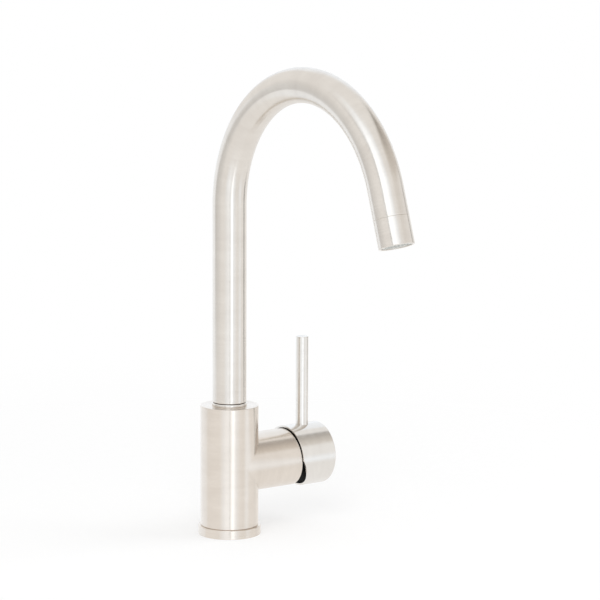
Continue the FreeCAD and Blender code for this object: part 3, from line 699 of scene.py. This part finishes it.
@dataclass(frozen=True)
class BodyAssembly:
    """Casting with its base ring and the swivel collar."""

    radius: float = 0.024
    top: float = 0.108
    edge: float = 0.0006
    foot_radius: float = 0.022
    foot_lift: float = 0.0015
    recess_radius: float = 0.018
    recess_top: float = 0.024
    ring_radius: float = 0.026
    ring_height: float = 0.0075
    ring_edge: float = 0.0008
    ring_gap: float = 0.00006
    gasket_inner: float = 0.0231
    gasket_outer: float = 0.0247
    gasket_depth: float = 0.0018
    branch_height: float = 0.0575
    branch_reach: float = 0.0575
    branch_slant: float = math.radians(5)
    branch_edge: float = 0.0002
    bore_radius: float = 0.02
    bore_bottom: float = 0.04685
    swivel_radius: float = 0.01375
    swivel_bottom: float = 0.072
    bush_inner: float = 0.0118
    bush_bottom: float = 0.08
    bush_radius: float = 0.0137
    collar_radius: float = 0.0144
    collar_top: float = 0.1104
    collar_edge: float = 0.001
    collar_foot: float = 0.0002
    inlet_radius: float = 0.0045
    inlet_spread: float = 0.008
    inlet_depth: float = 0.012
    stud_radius: float = 0.0034
    stud_spread: float = 0.013
    stud_depth: float = 0.01
    screw_radius: float = 0.00255
    screw_drop: float = 0.0065

    def casting(self) -> Object:
        """Barrel and branch in one skin: equal rounds that meet along two slanted ellipses.

        Returns:
            The casting, with its threaded holes.
        """
        below = [
            Corner(0, self.recess_top),
            Corner(self.recess_radius, self.recess_top, self.edge),
            Corner(self.recess_radius, self.foot_lift, self.edge),
            Corner(self.foot_radius, self.foot_lift, self.edge),
            Corner(self.foot_radius, self.ring_height),
            Corner(self.radius, self.ring_height, self.edge / 2),
            Corner(self.radius, self.branch_height),
        ]
        above = [
            Corner(self.radius, self.branch_height),
            Corner(self.radius, self.top, self.edge),
            Corner(self.swivel_radius, self.top, self.edge / 2),
            Corner(self.swivel_radius, self.swivel_bottom),
            Corner(0, self.swivel_bottom),
        ]
        outwards = [
            Corner(self.radius, 0),
            Corner(self.radius, self.branch_reach, self.branch_edge),
            Corner(self.bore_radius, self.branch_reach, self.branch_edge),
            Corner(self.bore_radius, self.bore_bottom),
            Corner(0, self.bore_bottom),
        ]
        lower = rings(below, UPRIGHT)
        upper = rings(above, UPRIGHT)
        branch = rings(outwards, branch_frame(self.branch_height), self.slant)
        lower[-1] = [self.parted(knot, -1) for knot in lower[-1]]
        upper[0] = [self.parted(knot, 1) for knot in upper[0]]
        branch[0] = [self.joined(knot) for knot in branch[0]]
        return make_piece("body_casting_skin", [lower, upper, branch], self.cutters())

    def slant(self, radius: float, angle: float) -> float:
        """How far the slanted end of the branch lies from its middle, at a radius and angle."""
        return -radius * math.cos(angle) * math.tan(self.branch_slant)

    def parted(self, knot: Knot, side: int) -> Knot:
        """Move a knot of the barrel's middle ring up or down to the seam with the branch.

        Args:
            knot: knot at the branch's height.
            side: 1 for the seam above the branch, -1 for the one below.

        Returns:
            The moved knot.
        """
        rise = Vector((0, 0, side * max(knot.point.x, 0.0)))
        return Knot(knot.point + rise, knot.grain + rise, knot.brush)

    def joined(self, knot: Knot) -> Knot:
        """Move a knot of the branch's first ring out to the seam with the barrel.

        Args:
            knot: knot of a ring about the branch axis.

        Returns:
            The moved knot.
        """
        reach = abs(knot.point.z - self.branch_height)
        point = Vector((reach, knot.point.y, knot.point.z))
        return Knot(point, knot.grain + Vector((0, 0, reach - knot.point.x)), knot.brush)

    def cutters(self) -> list[Object]:
        """Cutters for the inlet, stud and retaining-screw holes.

        Returns:
            One closed cutter for each hole.
        """
        start = self.recess_top - self.foot_lift
        found = []
        for side in (1, -1):
            inlet = Vector((0, side * self.inlet_spread, start))
            inlet_end = Vector((0, inlet.y, self.recess_top + self.inlet_depth))
            found.append(hole_cutter("inlet_cutter", self.inlet_radius, inlet, inlet_end))
            stud = Vector((side * self.stud_spread, 0, start))
            stud_end = Vector((stud.x, 0, self.recess_top + self.stud_depth))
            found.append(hole_cutter("stud_cutter", self.stud_radius, stud, stud_end))
        height = self.top - self.screw_drop
        inside = Vector((0, self.swivel_radius - self.foot_lift, height))
        outside = Vector((0, self.radius + self.foot_lift, height))
        found.append(hole_cutter("screw_cutter", self.screw_radius, inside, outside))
        return found

    def base_ring(self) -> Object:
        """Escutcheon ring with a softened upper edge and a gasket groove below.

        Returns:
            The ring.
        """
        inner = self.foot_radius + self.ring_gap
        corners = [
            Corner(inner, self.ring_height / 2),
            Corner(inner, 0),
            Corner(self.gasket_inner, 0),
            Corner(self.gasket_inner, self.gasket_depth),
            Corner(self.gasket_outer, self.gasket_depth),
            Corner(self.gasket_outer, 0),
            Corner(self.ring_radius, 0, self.edge / 2),
            Corner(self.ring_radius, self.ring_height, self.ring_edge),
            Corner(inner, self.ring_height),
            Corner(inner, self.ring_height / 2),
        ]
        return make_piece("base_ring_skin", [rings(corners, UPRIGHT)])

    def collar(self) -> Object:
        """Swivel bush with its rounded collar above the barrel.

        Returns:
            The bush.
        """
        middle = (self.bush_bottom + self.top) / 2
        corners = [
            Corner(self.bush_inner, middle),
            Corner(self.bush_inner, self.bush_bottom),
            Corner(self.bush_radius, self.bush_bottom),
            Corner(self.bush_radius, self.top),
            Corner(self.collar_radius - self.collar_foot, self.top),
            Corner(self.collar_radius, self.top + self.collar_foot, self.collar_foot),
            Corner(self.collar_radius, self.collar_top, self.collar_edge),
            Corner(self.bush_inner, self.collar_top),
            Corner(self.bush_inner, middle),
        ]
        inside = Vector((0, self.bush_inner - self.foot_lift, self.top - self.screw_drop))
        outside = Vector((0, self.collar_radius + self.foot_lift, inside.z))
        hole = hole_cutter("bush_cutter", self.screw_radius, inside, outside)
        return make_piece("swivel_bush_skin", [rings(corners, UPRIGHT)], [hole])

    def build(self) -> None:
        """Make the sub-assembly's pieces and hand them over."""
        hand_over(self.casting(), Slot.NICKEL, Rider.BODY, "body_casting")
        hand_over(self.base_ring(), Slot.NICKEL, Rider.BODY, "base_ring")
        hand_over(self.collar(), Slot.NICKEL, Rider.BODY, "swivel_bush", HANDLE_NICKEL)


@dataclass(frozen=True)
class SpoutAssembly:
    """Gooseneck tube, its tip sleeve and the perforated screen in the outlet."""

    radius: float = 0.014
    wall: float = 0.0012
    edge: float = 0.0003
    bottom: float = 0.1109
    rise: float = 0.1624
    bend_radius: float = 0.1045
    bend_angle: float = math.radians(161.5)
    end_run: float = 0.0454
    tip_length: float = 0.0222
    tip_wall: float = 0.002
    tip_edge: float = 0.0007
    tip_neck_length: float = 0.009
    tip_neck_wall: float = 0.0021
    tip_neck_radius: float = 0.01275
    tip_shoulder: float = 0.0146
    screen_start: float = 0.002
    screen_radius: float = 0.01
    screen_thickness: float = 0.001
    screen_hole: float = 0.00075
    screen_pitch: float = 0.0026
    screen_rings: int = 3
    first_ring_holes: int = 6
    screen_weld: float = 0.000001
    hole_steps: int = 32
    plate_steps: int = 128
    along_step: float = 0.002

    def outlet_frame(self) -> Matrix:
        """Frame at the outlet whose Z runs back up the tip.

        Returns:
            The frame in the row frame.
        """
        cos, sin = math.cos(self.bend_angle), math.sin(self.bend_angle)
        reach = self.bend_radius * (1 - cos) + self.end_run * sin
        height = self.bottom + self.rise + self.bend_radius * sin + self.end_run * cos
        tilt = Matrix.Rotation(self.bend_angle - math.pi, 4, "X")
        return Matrix.Translation((0, -reach, height)) @ tilt

    def bend_tree(self) -> NodeTree:
        """Geometry tree that bends a straight upright tube into the gooseneck.

        Returns:
            The tree, with named inputs for the bend and the material.
        """
        tree, given = start_tree("gooseneck_bend", ("Bend Start", "Bend Radius", "Bend Angle"))
        start, radius, angle = given["Bend Start"], given["Bend Radius"], given["Bend Angle"]
        calc = partial(add_node, tree, "ShaderNodeMath")
        place = add_node(tree, "GeometryNodeInputPosition")
        split = add_node(tree, "ShaderNodeSeparateXYZ", (place,)).outputs
        past = calc((split["Z"], start), operation="SUBTRACT")
        whole = calc((radius, angle), operation="MULTIPLY")
        begun = calc((past, 0.0), operation="MAXIMUM")
        on_bend = calc((begun, whole), operation="MINIMUM")
        turn = calc((on_bend, radius), operation="DIVIDE")
        cos = calc((turn,), operation="COSINE")
        sin = calc((turn,), operation="SINE")
        # Straight length before the bend is below zero, and after it is the rest of the tube.
        rest = calc((past, on_bend), operation="SUBTRACT")
        short = calc((cos, 1.0), operation="SUBTRACT")
        inwards = calc((radius, short), operation="MULTIPLY")
        aside = calc((rest, sin), operation="MULTIPLY")
        middle_y = calc((inwards, aside), operation="SUBTRACT")
        climb = calc((radius, sin, start), operation="MULTIPLY_ADD")
        middle_z = calc((rest, cos, climb), operation="MULTIPLY_ADD")
        bent_y = calc((split["Y"], cos, middle_y), operation="MULTIPLY_ADD")
        bent_z = calc((split["Y"], sin, middle_z), operation="MULTIPLY_ADD")
        moved = add_node(tree, "ShaderNodeCombineXYZ", (split["X"], bent_y, bent_z))
        # The brush direction turns with the tube.
        vector = {"data_type": "FLOAT_VECTOR"}
        brush = add_node(tree, "GeometryNodeInputNamedAttribute", {"Name": BRUSH}, **vector)
        parts = add_node(tree, "ShaderNodeSeparateXYZ", (brush.outputs["Attribute"],)).outputs
        swung_y = calc((parts["Y"], cos), operation="MULTIPLY")
        swung_z = calc((parts["Y"], sin), operation="MULTIPLY")
        swung = add_node(tree, "ShaderNodeCombineXYZ", (parts["X"], swung_y, swung_z))
        turned = {"Geometry": given["Geometry"], "Name": BRUSH, "Value": swung}
        kept = add_node(tree, "GeometryNodeStoreNamedAttribute", turned, domain="CORNER", **vector)
        bowed = add_node(tree, "GeometryNodeSetPosition", {"Geometry": kept, "Position": moved})
        end_tree(tree, bowed, given["Material"])
        return tree

    def tube(self) -> Object:
        """Tube turned straight, then bent along the gooseneck.

        Returns:
            The bent tube.
        """
        inner = self.radius - self.wall
        bend_start = self.bottom + self.rise
        end = bend_start + self.bend_radius * self.bend_angle + self.end_run - self.tip_length
        count = round((end - self.bottom) / self.along_step)
        levels = [self.bottom + (end - self.bottom) * i / count for i in range(1, count)]
        corners = [
            Corner(inner, end, self.edge),
            *(Corner(inner, level) for level in reversed(levels)),
            Corner(inner, self.bottom, self.edge),
            Corner(self.radius, self.bottom, self.edge),
            *(Corner(self.radius, level) for level in levels),
            Corner(self.radius, end, self.edge),
            Corner(inner, end),
        ]
        item = Draft().loft(rings(corners, UPRIGHT)).close("spout_tube_skin")
        values = {
            "Bend Start": bend_start,
            "Bend Radius": self.bend_radius,
            "Bend Angle": self.bend_angle,
            "Material": SPOUT_NICKEL.material(),
        }
        run_tree(item, self.bend_tree(), values)
        smooth(item)
        return item

    def tip(self) -> Object:
        """Sleeve at the outlet, with a fine seam to the tube and a rounded mouth.

        Returns:
            The sleeve.
        """
        bore = self.radius - self.tip_wall
        neck_bore = self.tip_neck_radius - self.tip_neck_wall
        neck_end = self.tip_length + self.tip_neck_length
        middle = self.tip_shoulder / 2
        corners = [
            Corner(bore, middle),
            Corner(bore, 0, self.edge),
            Corner(self.radius, 0, self.tip_edge),
            Corner(self.radius, self.tip_length, self.edge),
            Corner(self.tip_neck_radius, self.tip_length),
            Corner(self.tip_neck_radius, neck_end),
            Corner(neck_bore, neck_end),
            Corner(neck_bore, self.tip_shoulder),
            Corner(bore, self.tip_shoulder),
            Corner(bore, middle),
        ]
        return make_piece("spout_tip_skin", [rings(corners, self.outlet_frame())])

    def screen_tree(self) -> NodeTree:
        """Geometry tree for a round plate with rings of holes.

        Returns:
            The tree, with named inputs for the plate, its holes and the material.
        """
        names = ("Plate Radius", "Plate Thickness", "Hole Radius", "Hole Pitch")
        tree, given = start_tree("outlet_screen", names)
        points = [add_node(tree, "GeometryNodeMeshLine", {"Count": 1})]
        for count in range(1, self.screen_rings + 1):
            steps = (given["Hole Pitch"], float(count))
            reach = add_node(tree, "ShaderNodeMath", steps, operation="MULTIPLY")
            ring = {"Vertices": self.first_ring_holes * count, "Radius": reach}
            points.append(add_node(tree, "GeometryNodeMeshCircle", ring))
        spots = add_node(tree, "GeometryNodeJoinGeometry", (points,))
        circle = partial(add_node, tree, "GeometryNodeCurvePrimitiveCircle")
        hole = circle({"Resolution": self.hole_steps, "Radius": given["Hole Radius"]})
        edge = circle({"Resolution": self.plate_steps, "Radius": given["Plate Radius"]})
        holes = add_node(tree, "GeometryNodeInstanceOnPoints", {"Points": spots, "Instance": hole})
        loose = add_node(tree, "GeometryNodeRealizeInstances", {"Geometry": holes})
        outline = add_node(tree, "GeometryNodeJoinGeometry", ([edge, loose],))
        sheet = add_node(tree, "GeometryNodeFillCurve", {"Curve": outline})
        raised = {"Mesh": sheet, "Offset Scale": given["Plate Thickness"], "Individual": False}
        thick = add_node(tree, "GeometryNodeExtrudeMesh", raised)
        under = add_node(tree, "GeometryNodeFlipFaces", {"Mesh": sheet})
        plate = add_node(tree, "GeometryNodeJoinGeometry", ([thick, under],))
        joint = {"Geometry": plate, "Distance": self.screen_weld}
        welded = add_node(tree, "GeometryNodeMergeByDistance", joint)
        end_tree(tree, welded, given["Material"])
        return tree

    def screen(self) -> Object:
        """Perforated plate that breaks up the stream.

        Returns:
            The plate, in the outlet.
        """
        item = add_object("outlet_screen", bpy.data.meshes.new("outlet_screen"))
        values = {
            "Plate Radius": self.screen_radius,
            "Plate Thickness": self.screen_thickness,
            "Hole Radius": self.screen_hole,
            "Hole Pitch": self.screen_pitch,
            "Material": FINISHES[Slot.AERATOR_PLASTIC].material(),
        }
        run_tree(item, self.screen_tree(), values)
        item.data.transform(self.outlet_frame() @ Matrix.Translation((0, 0, self.screen_start)))
        smooth(item)
        return item

    def build(self) -> None:
        """Make the sub-assembly's pieces and hand them over."""
        hand_over(self.tube(), Slot.NICKEL, Rider.SPOUT, "spout_tube", SPOUT_NICKEL)
        hand_over(self.tip(), Slot.NICKEL, Rider.SPOUT, "spout_tip", SPOUT_NICKEL)
        hand_over(self.screen(), Slot.AERATOR_PLASTIC, Rider.SPOUT, "aerator_screen")


@dataclass(frozen=True)
class HandleAssembly:
    """Round cap with its slanted rim, and the upright pin lever."""

    axis_height: float = 0.0575
    pivot_reach: float = 0.0575
    radius: float = 0.026
    skirt_radius: float = 0.0244
    end: float = 0.091
    edge: float = 0.0005
    rim_edge: float = 0.00015
    rim_reach: float = 0.0578
    rim_slant_upper: float = math.radians(2.5)
    rim_slant_lower: float = math.radians(25)
    mouth_end: float = 0.071
    hollow_radius: float = 0.0206
    hollow_steps: int = 12
    screw_reach: float = 0.083
    screw_radius: float = 0.00255
    screw_top: float = 0.0535
    pin_reach: float = 0.0745
    pin_radius: float = 0.00525
    pin_seat: float = 0.02541
    pin_seat_gap: float = 0.00005
    pin_length: float = 0.0753
    pin_edge: float = 0.0004
    pin_stud_radius: float = 0.003
    pin_stud_length: float = 0.01

    def rim(self, radius: float, angle: float) -> float:
        """Place of the cap's rim along the branch: two slants that meet across the axis.

        Args:
            radius: distance from the branch axis.
            angle: angle about it, 0 at the top.

        Returns:
            Distance past the rim's nearest point on the axis.
        """
        up = radius * math.cos(angle)
        return -up * math.tan(self.rim_slant_upper if up > 0 else self.rim_slant_lower)

    def cap(self) -> Object:
        """Cap with a flat end, a thin skirt, a round hollow and its two screw holes.

        Returns:
            The cap.
        """
        place = branch_frame(self.axis_height)
        depth = self.mouth_end - self.pivot_reach
        full = math.acos(depth / self.hollow_radius)
        hollow = []
        for i in range(self.hollow_steps + 1):
            angle = full * i / self.hollow_steps
            reach = self.pivot_reach + self.hollow_radius * math.cos(angle)
            hollow.append(Corner(self.hollow_radius * math.sin(angle), reach))
        inside = [*hollow, Corner(self.skirt_radius, self.mouth_end)]
        rim = [
            Corner(self.skirt_radius, self.rim_reach + self.rim_edge),
            Corner(self.skirt_radius, self.rim_reach, self.rim_edge),
            Corner(self.radius, self.rim_reach, self.rim_edge),
            Corner(self.radius, self.rim_reach + self.rim_edge),
        ]
        outside = [
            Corner(self.radius, self.end - self.edge * 2),
            Corner(self.radius, self.end, self.edge),
            Corner(0, self.end),
        ]
        surface = rings(inside, place) + rings(rim, place, self.rim) + rings(outside, place)
        below = Vector((self.screw_reach, 0, self.axis_height - self.radius - self.edge))
        screw_end = Vector((below.x, 0, self.screw_top))
        pin = Vector((self.pin_reach, 0, self.axis_height + self.pin_seat))
        stud_radius = self.pin_stud_radius + self.pin_seat_gap
        stud = pin - Vector((0, 0, self.pin_stud_length + self.edge))
        over = pin + Vector((0, 0, self.radius))
        seat_radius = self.pin_radius + self.pin_seat_gap
        holes = [
            hole_cutter("screw_cutter", self.screw_radius, below, screw_end),
            hole_cutter("seat_cutter", seat_radius, pin, over),
            hole_cutter("stud_cutter", stud_radius, stud, over),
        ]
        return make_piece("handle_cap_skin", [surface], holes)

    def paint_gap_shade(self, item: Object) -> None:
        """Paint the cap's inside with the black plastic as painted shade, so that the gap under it
        stays dark.

        Args:
            item: the cap.
        """
        # The cap's inner faces take the black plastic as painted shade.
        item.data.materials.append(FINISHES[Slot.BLACK_PLASTIC].material())
        axis = Vector((0, self.axis_height))
        for face in item.data.polygons:
            inside = (face.center.yz - axis).length < self.skirt_radius + self.rim_edge / 2
            if inside and face.center.x < self.pivot_reach + self.hollow_radius:
                face.material_index = 1

    def pin(self) -> Object:
        """Slim round lever with a softened end and its threaded stud.

        Returns:
            The pin.
        """
        corners = [
            Corner(0, -self.pin_stud_length),
            Corner(self.pin_stud_radius, -self.pin_stud_length, self.pin_edge),
            Corner(self.pin_stud_radius, 0),
            Corner(self.pin_radius, 0, self.pin_edge / 4),
            Corner(self.pin_radius, self.pin_length, self.pin_edge),
            Corner(0, self.pin_length),
        ]
        place = Matrix.Translation((self.pin_reach, 0, self.axis_height + self.pin_seat))
        return make_piece("lever_pin_skin", [rings(corners, place)])

    def build(self) -> None:
        """Make the sub-assembly's pieces and hand them over."""
        self.paint_gap_shade(hand_over(self.cap(), Slot.NICKEL, Rider.LEVER, "handle_cap", HANDLE_NICKEL))
        hand_over(self.pin(), Slot.NICKEL, Rider.LEVER, "lever_pin", HANDLE_NICKEL)


@dataclass(frozen=True)
class InnerWorks:
    """CAD nodes that keep their own shape: cartridge, seals, screws, the outlet's inner parts."""

    def build(self) -> None:
        """Give each shown node the finish of its material slot."""
        finishes = {slot.value: FINISHES[slot] for slot in Slot}
        for name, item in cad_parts.items():
            for holder in item.material_slots:
                finish = finishes[holder.material.name.split(".")[0]]
                holder.material = finish.material()
                log.info("%s: %s", name, finish.name)


@dataclass(frozen=True)
class Card:
    """Flat panel of the studio, stood round the object by its bearing from the camera's side.

    Its light levels are rows from the bottom up, each from the lower bearing to the higher.
    """

    name: str
    bearing: float
    distance: float
    width: float
    bottom: float
    top: float
    levels: tuple[tuple[float, ...], ...]
    tint: str = WHITE
    lean: float = 0.0
    tint_fade: float = 0.25

    def row(self, facing: float, rise: float) -> list[Vector]:
        """Points along the panel at one height.

        Args:
            facing: azimuth of the camera's side, in radians.
            rise: share of the panel's height.

        Returns:
            One point for each column of light levels.
        """
        angle = facing + math.radians(self.bearing + self.lean * rise)
        middle = Vector((math.sin(angle), -math.cos(angle), 0)) * self.distance
        middle.z = self.bottom + (self.top - self.bottom) * rise
        side = Vector((math.cos(angle), math.sin(angle), 0)) * self.width
        last = len(self.levels[0]) - 1
        return [middle + side * (c / last - 0.5) for c in range(last + 1)]

    def build(self, facing: float) -> None:
        """Stand the panel up, lit by itself and seen in reflections only.

        Args:
            facing: azimuth of the camera's side, in radians.
        """
        rows, columns = len(self.levels), len(self.levels[0])
        points = [point for r in range(rows) for point in self.row(facing, r / (rows - 1))]
        faces = [
            (k, k + 1, k + columns + 1, k + columns)
            for k in range((rows - 1) * columns)
            if (k + 1) % columns
        ]
        data = bpy.data.meshes.new(self.name)
        data.from_pydata(points, [], faces)
        shades = [level for row in self.levels for level in row]
        data.attributes.new(LEVEL, "FLOAT", "POINT").data.foreach_set("value", shades)
        item = add_object(self.name, data)
        material = blank_material(f"{self.name}_paper")
        tree = material.node_tree
        level = add_node(tree, "ShaderNodeAttribute", attribute_name=LEVEL).outputs["Fac"]
        # The tint fades where the panel is as bright as the white round it, so no edge shows.
        apart = add_node(tree, "ShaderNodeMath", (level, 1.0), operation="SUBTRACT")
        size = add_node(tree, "ShaderNodeMath", (apart,), operation="ABSOLUTE")
        share = add_node(tree, "ShaderNodeMapRange", {"Value": size, "From Max": self.tint_fade})
        colour = blend(tree, share, WHITE, self.tint)
        glow = add_node(tree, "ShaderNodeEmission", {"Color": colour, "Strength": level})
        add_node(tree, "ShaderNodeOutputMaterial", {"Surface": glow})
        data.materials.append(material)
        hide_from(item, "camera", "diffuse", "transmission", "shadow")


@dataclass(frozen=True)
class Studio:
    """Pale floor, white surroundings, soft lamps, panels for the metal to reflect, camera."""

    facing: float = math.radians(-35.2)
    place: Vector = Vector((-1.25385, -1.77745, 0.53417))
    azimuth: float = math.radians(-36.7216)
    elevation: float = math.radians(8.8494)
    roll: float = math.radians(0.2463)
    lens: float = 161.14
    floor_radius: float = 1.0
    floor_colour: str = WHITE
    floor_glow: float = 0.5
    fade_start: float = 0.15
    fade_end: float = 0.9
    ambient: float = 0.75
    lamp_aim: Vector = Vector((0, 0, 0.13))

    def floor(self) -> None:
        """Round pale floor that fades into the white surroundings."""
        data = bpy.data.meshes.new("floor")
        rim = [
            Vector((math.cos(a), math.sin(a), 0)) * self.floor_radius
            for a in (math.tau * i / TURN_STEPS for i in range(TURN_STEPS))
        ]
        data.from_pydata(rim, [], [tuple(range(TURN_STEPS))])
        item = add_object("floor", data)
        material = blank_material("matt_white_sweep")
        tree = material.node_tree
        place = add_node(tree, "ShaderNodeTexCoord").outputs["Object"]
        reach = add_node(tree, "ShaderNodeVectorMath", (place,), operation="LENGTH")
        limits = {
            "Value": reach.outputs["Value"],
            "From Min": self.fade_start,
            "From Max": self.fade_end,
        }
        fade = add_node(tree, "ShaderNodeMapRange", limits, interpolation_type="SMOOTHSTEP")
        # Reflections look through the floor at the panels, so the metal gets no dark foot.
        glossy = add_node(tree, "ShaderNodeLightPath").outputs["Is Glossy Ray"]
        unseen = add_node(tree, "ShaderNodeMath", (fade, glossy), operation="MAXIMUM")
        colour = linear(self.floor_colour)
        paper = add_node(tree, "ShaderNodeBsdfDiffuse", {"Color": colour})
        # Light from under the sweep thins the shadow out.
        under = add_node(tree, "ShaderNodeEmission", {"Color": colour})
        lit = add_node(tree, "ShaderNodeMixShader", (self.floor_glow, paper, under))
        clear = add_node(tree, "ShaderNodeBsdfTransparent")
        mixed = add_node(tree, "ShaderNodeMixShader", (unseen, lit, clear))
        add_node(tree, "ShaderNodeOutputMaterial", {"Surface": mixed})
        data.materials.append(material)

    def surroundings(self) -> None:
        """White all round for the eye and for reflections, softer for diffuse light."""
        world = bpy.data.worlds.new("white_studio")
        bpy.context.scene.world = world
        world.use_nodes = True
        tree = world.node_tree
        tree.nodes.clear()
        path = add_node(tree, "ShaderNodeLightPath").outputs
        either = partial(add_node, tree, "ShaderNodeMath", operation="MAXIMUM")
        sharp = either((path["Is Camera Ray"], path["Is Glossy Ray"]))
        seen = either((sharp, path["Is Transmission Ray"]))
        level = add_node(tree, "ShaderNodeMapRange", {"Value": seen, "To Min": self.ambient})
        sky = add_node(tree, "ShaderNodeBackground", {"Color": linear(WHITE), "Strength": level})
        add_node(tree, "ShaderNodeOutputWorld", {"Surface": sky})

    def panels(self) -> None:
        """Dark and bright panels that draw the bands along the metal."""
        cool = "#F2F8FF"
        warm = "#FFF9F2"
        strip = (1.7, 1.9, 1.6, 1.25)
        core = (1.25, 2.3, 2.1, 1.3)
        fill = (1.0, 1.2, 1.42, 1.45, 1.45, 1.15, 1.0)
        haze = (1.0, 1.04, 1.1, 1.18, 1.25, 1.2, 1.0)
        box = (1.75, 1.8, 1.7, 1.45, 1.15, 1.0)
        upper = (1.5, 1.45, 1.4, 1.2, 1.05, 1.0)
        high = (1.25, 1.25, 1.15, 1.08, 1.0, 1.0)
        wing = ((1.0, 1.1, 1.35, 1.7), (1.05, 1.15, 1.28, 1.45), (1.1, 1.2, 1.25, 1.25))
        plain = (1.0, 1.0, 1.0)
        pale = (1.0, 1.45, 1.0)
        dark_left = ((0.66, 0.74, 0.86, 1.0), (0.78, 0.84, 0.92, 1.0), (1.0, 1.0, 1.0, 1.0))
        dark_right = (
            (1.0, 0.88, 0.8, 0.74, 0.66),
            (0.97, 0.78, 0.67, 0.68, 0.65),
            (0.96, 0.66, 0.47, 0.46, 0.47),
            (0.98, 0.76, 0.5, 0.3, 0.22),
        )
        rim_left = (1.2, 1.2, 1.15)
        even = (1.25, 1.25)
        # Bearing in degrees, distance, width, bottom, top, levels, tint and lean in degrees.
        cards = (
            Card("strip_low", 13, 1.6, 0.45, -0.9, -0.2, (strip, strip), cool),
            Card("strip_mid", 17, 1.6, 0.36, -0.2, 0.35, (core, core), cool),
            Card("strip_frame", 2, 1.55, 0.07, -0.9, 0.35, ((0.75, 0.75), (0.75, 0.75))),
            Card("fill_low", 1, 1.75, 2.94, -0.9, -0.2, (fill, fill), cool),
            Card("fill_mid", 8, 1.75, 3.15, -0.2, 0.45, (haze, haze), cool),
            Card("softbox_front", 18, 1.6, 2.0, 0.45, 1.46, (box, box), cool, -22),
            Card("softbox_top", -4, 1.6, 2.0, 1.46, 3.3, (box, upper, high), cool),
            Card("softbox_wing", -56, 1.6, 1.17, 1.46, 3.3, wing, cool),
            Card("frame_side", -16, 1.86, 0.14, 0.45, 1.46, ((0.3, 0.3), (0.4, 0.4)), lean=-22),
            Card("frame_rail", -57, 1.58, 1.2, 1.36, 1.47, ((0.5, 0.5), (0.5, 0.5))),
            Card("strip_right", 73, 1.2, 0.6, -0.42, 0.18, (plain, pale, plain), cool),
            Card("flag_right", 87, 0.95, 1.55, 0.62, 1.63, dark_right, warm),
            Card("flag_right_low", 114, 1.1, 0.2, -0.1, 0.6, ((0.2, 0.2), (0.7, 0.7))),
            Card("flag_left", -82, 0.95, 1.1, 0.0, 0.95, dark_left),
            Card("edge_left", -131, 1.2, 1.5, -0.7, 0.45, (rim_left, rim_left), cool),
            Card("glow_behind", 175, 1.3, 1.2, 0.2, 1.8, (even, even), cool),
        )
        for card in cards:
            card.build(self.facing)

    def lamp(self, name: str, place: Vector, size: float, power: float) -> None:
        """Soft square lamp that points at the object.

        Args:
            name: name of the lamp.
            place: where it stands.
            size: side of the square.
            power: its power in watts.
        """
        light = bpy.data.lights.new(name, "AREA")
        light.size = size
        light.energy = power
        item = add_object(name, light)
        item.location = place
        item.rotation_euler = (self.lamp_aim - place).to_track_quat("-Z", "Y").to_euler()
        hide_from(item, "camera", "glossy")

    def camera(self) -> None:
        """Long lens at the photograph's angle, turned to put the object where it is there."""
        flat = math.cos(self.elevation)
        across, along = math.sin(self.azimuth) * flat, math.cos(self.azimuth) * flat
        back = Vector((across, -along, math.sin(self.elevation)))
        level = Vector((math.cos(self.azimuth), math.sin(self.azimuth), 0))
        right = level * math.cos(self.roll) + back.cross(level) * math.sin(self.roll)
        data = bpy.data.cameras.new("camera")
        data.lens = self.lens
        data.sensor_fit = "HORIZONTAL"
        item = add_object("camera", data)
        item.location = self.place
        item.rotation_euler = Matrix((right, back.cross(right), back)).transposed().to_euler()
        bpy.context.scene.camera = item

    def build(self) -> None:
        """Set up the whole studio."""
        bpy.context.scene.view_settings.view_transform = "Standard"
        self.floor()
        self.surroundings()
        self.panels()
        self.lamp("soft_lamp_left", Vector((-1.5, -1.6, 2.0)), size=1.6, power=22)
        self.lamp("soft_lamp_right", Vector((1.8, -1.0, 1.8)), size=1.6, power=14)
        self.camera()


def main() -> None:
    """Build the sub-assemblies in order, then the studio."""
    logging.basicConfig(level=logging.INFO, format="%(name)s %(message)s")
    for part in (InnerWorks(), BodyAssembly(), SpoutAssembly(), HandleAssembly(), Studio()):
        log.info("%s", type(part).__name__)
        part.build()


if __name__ == "__main__":
    main()
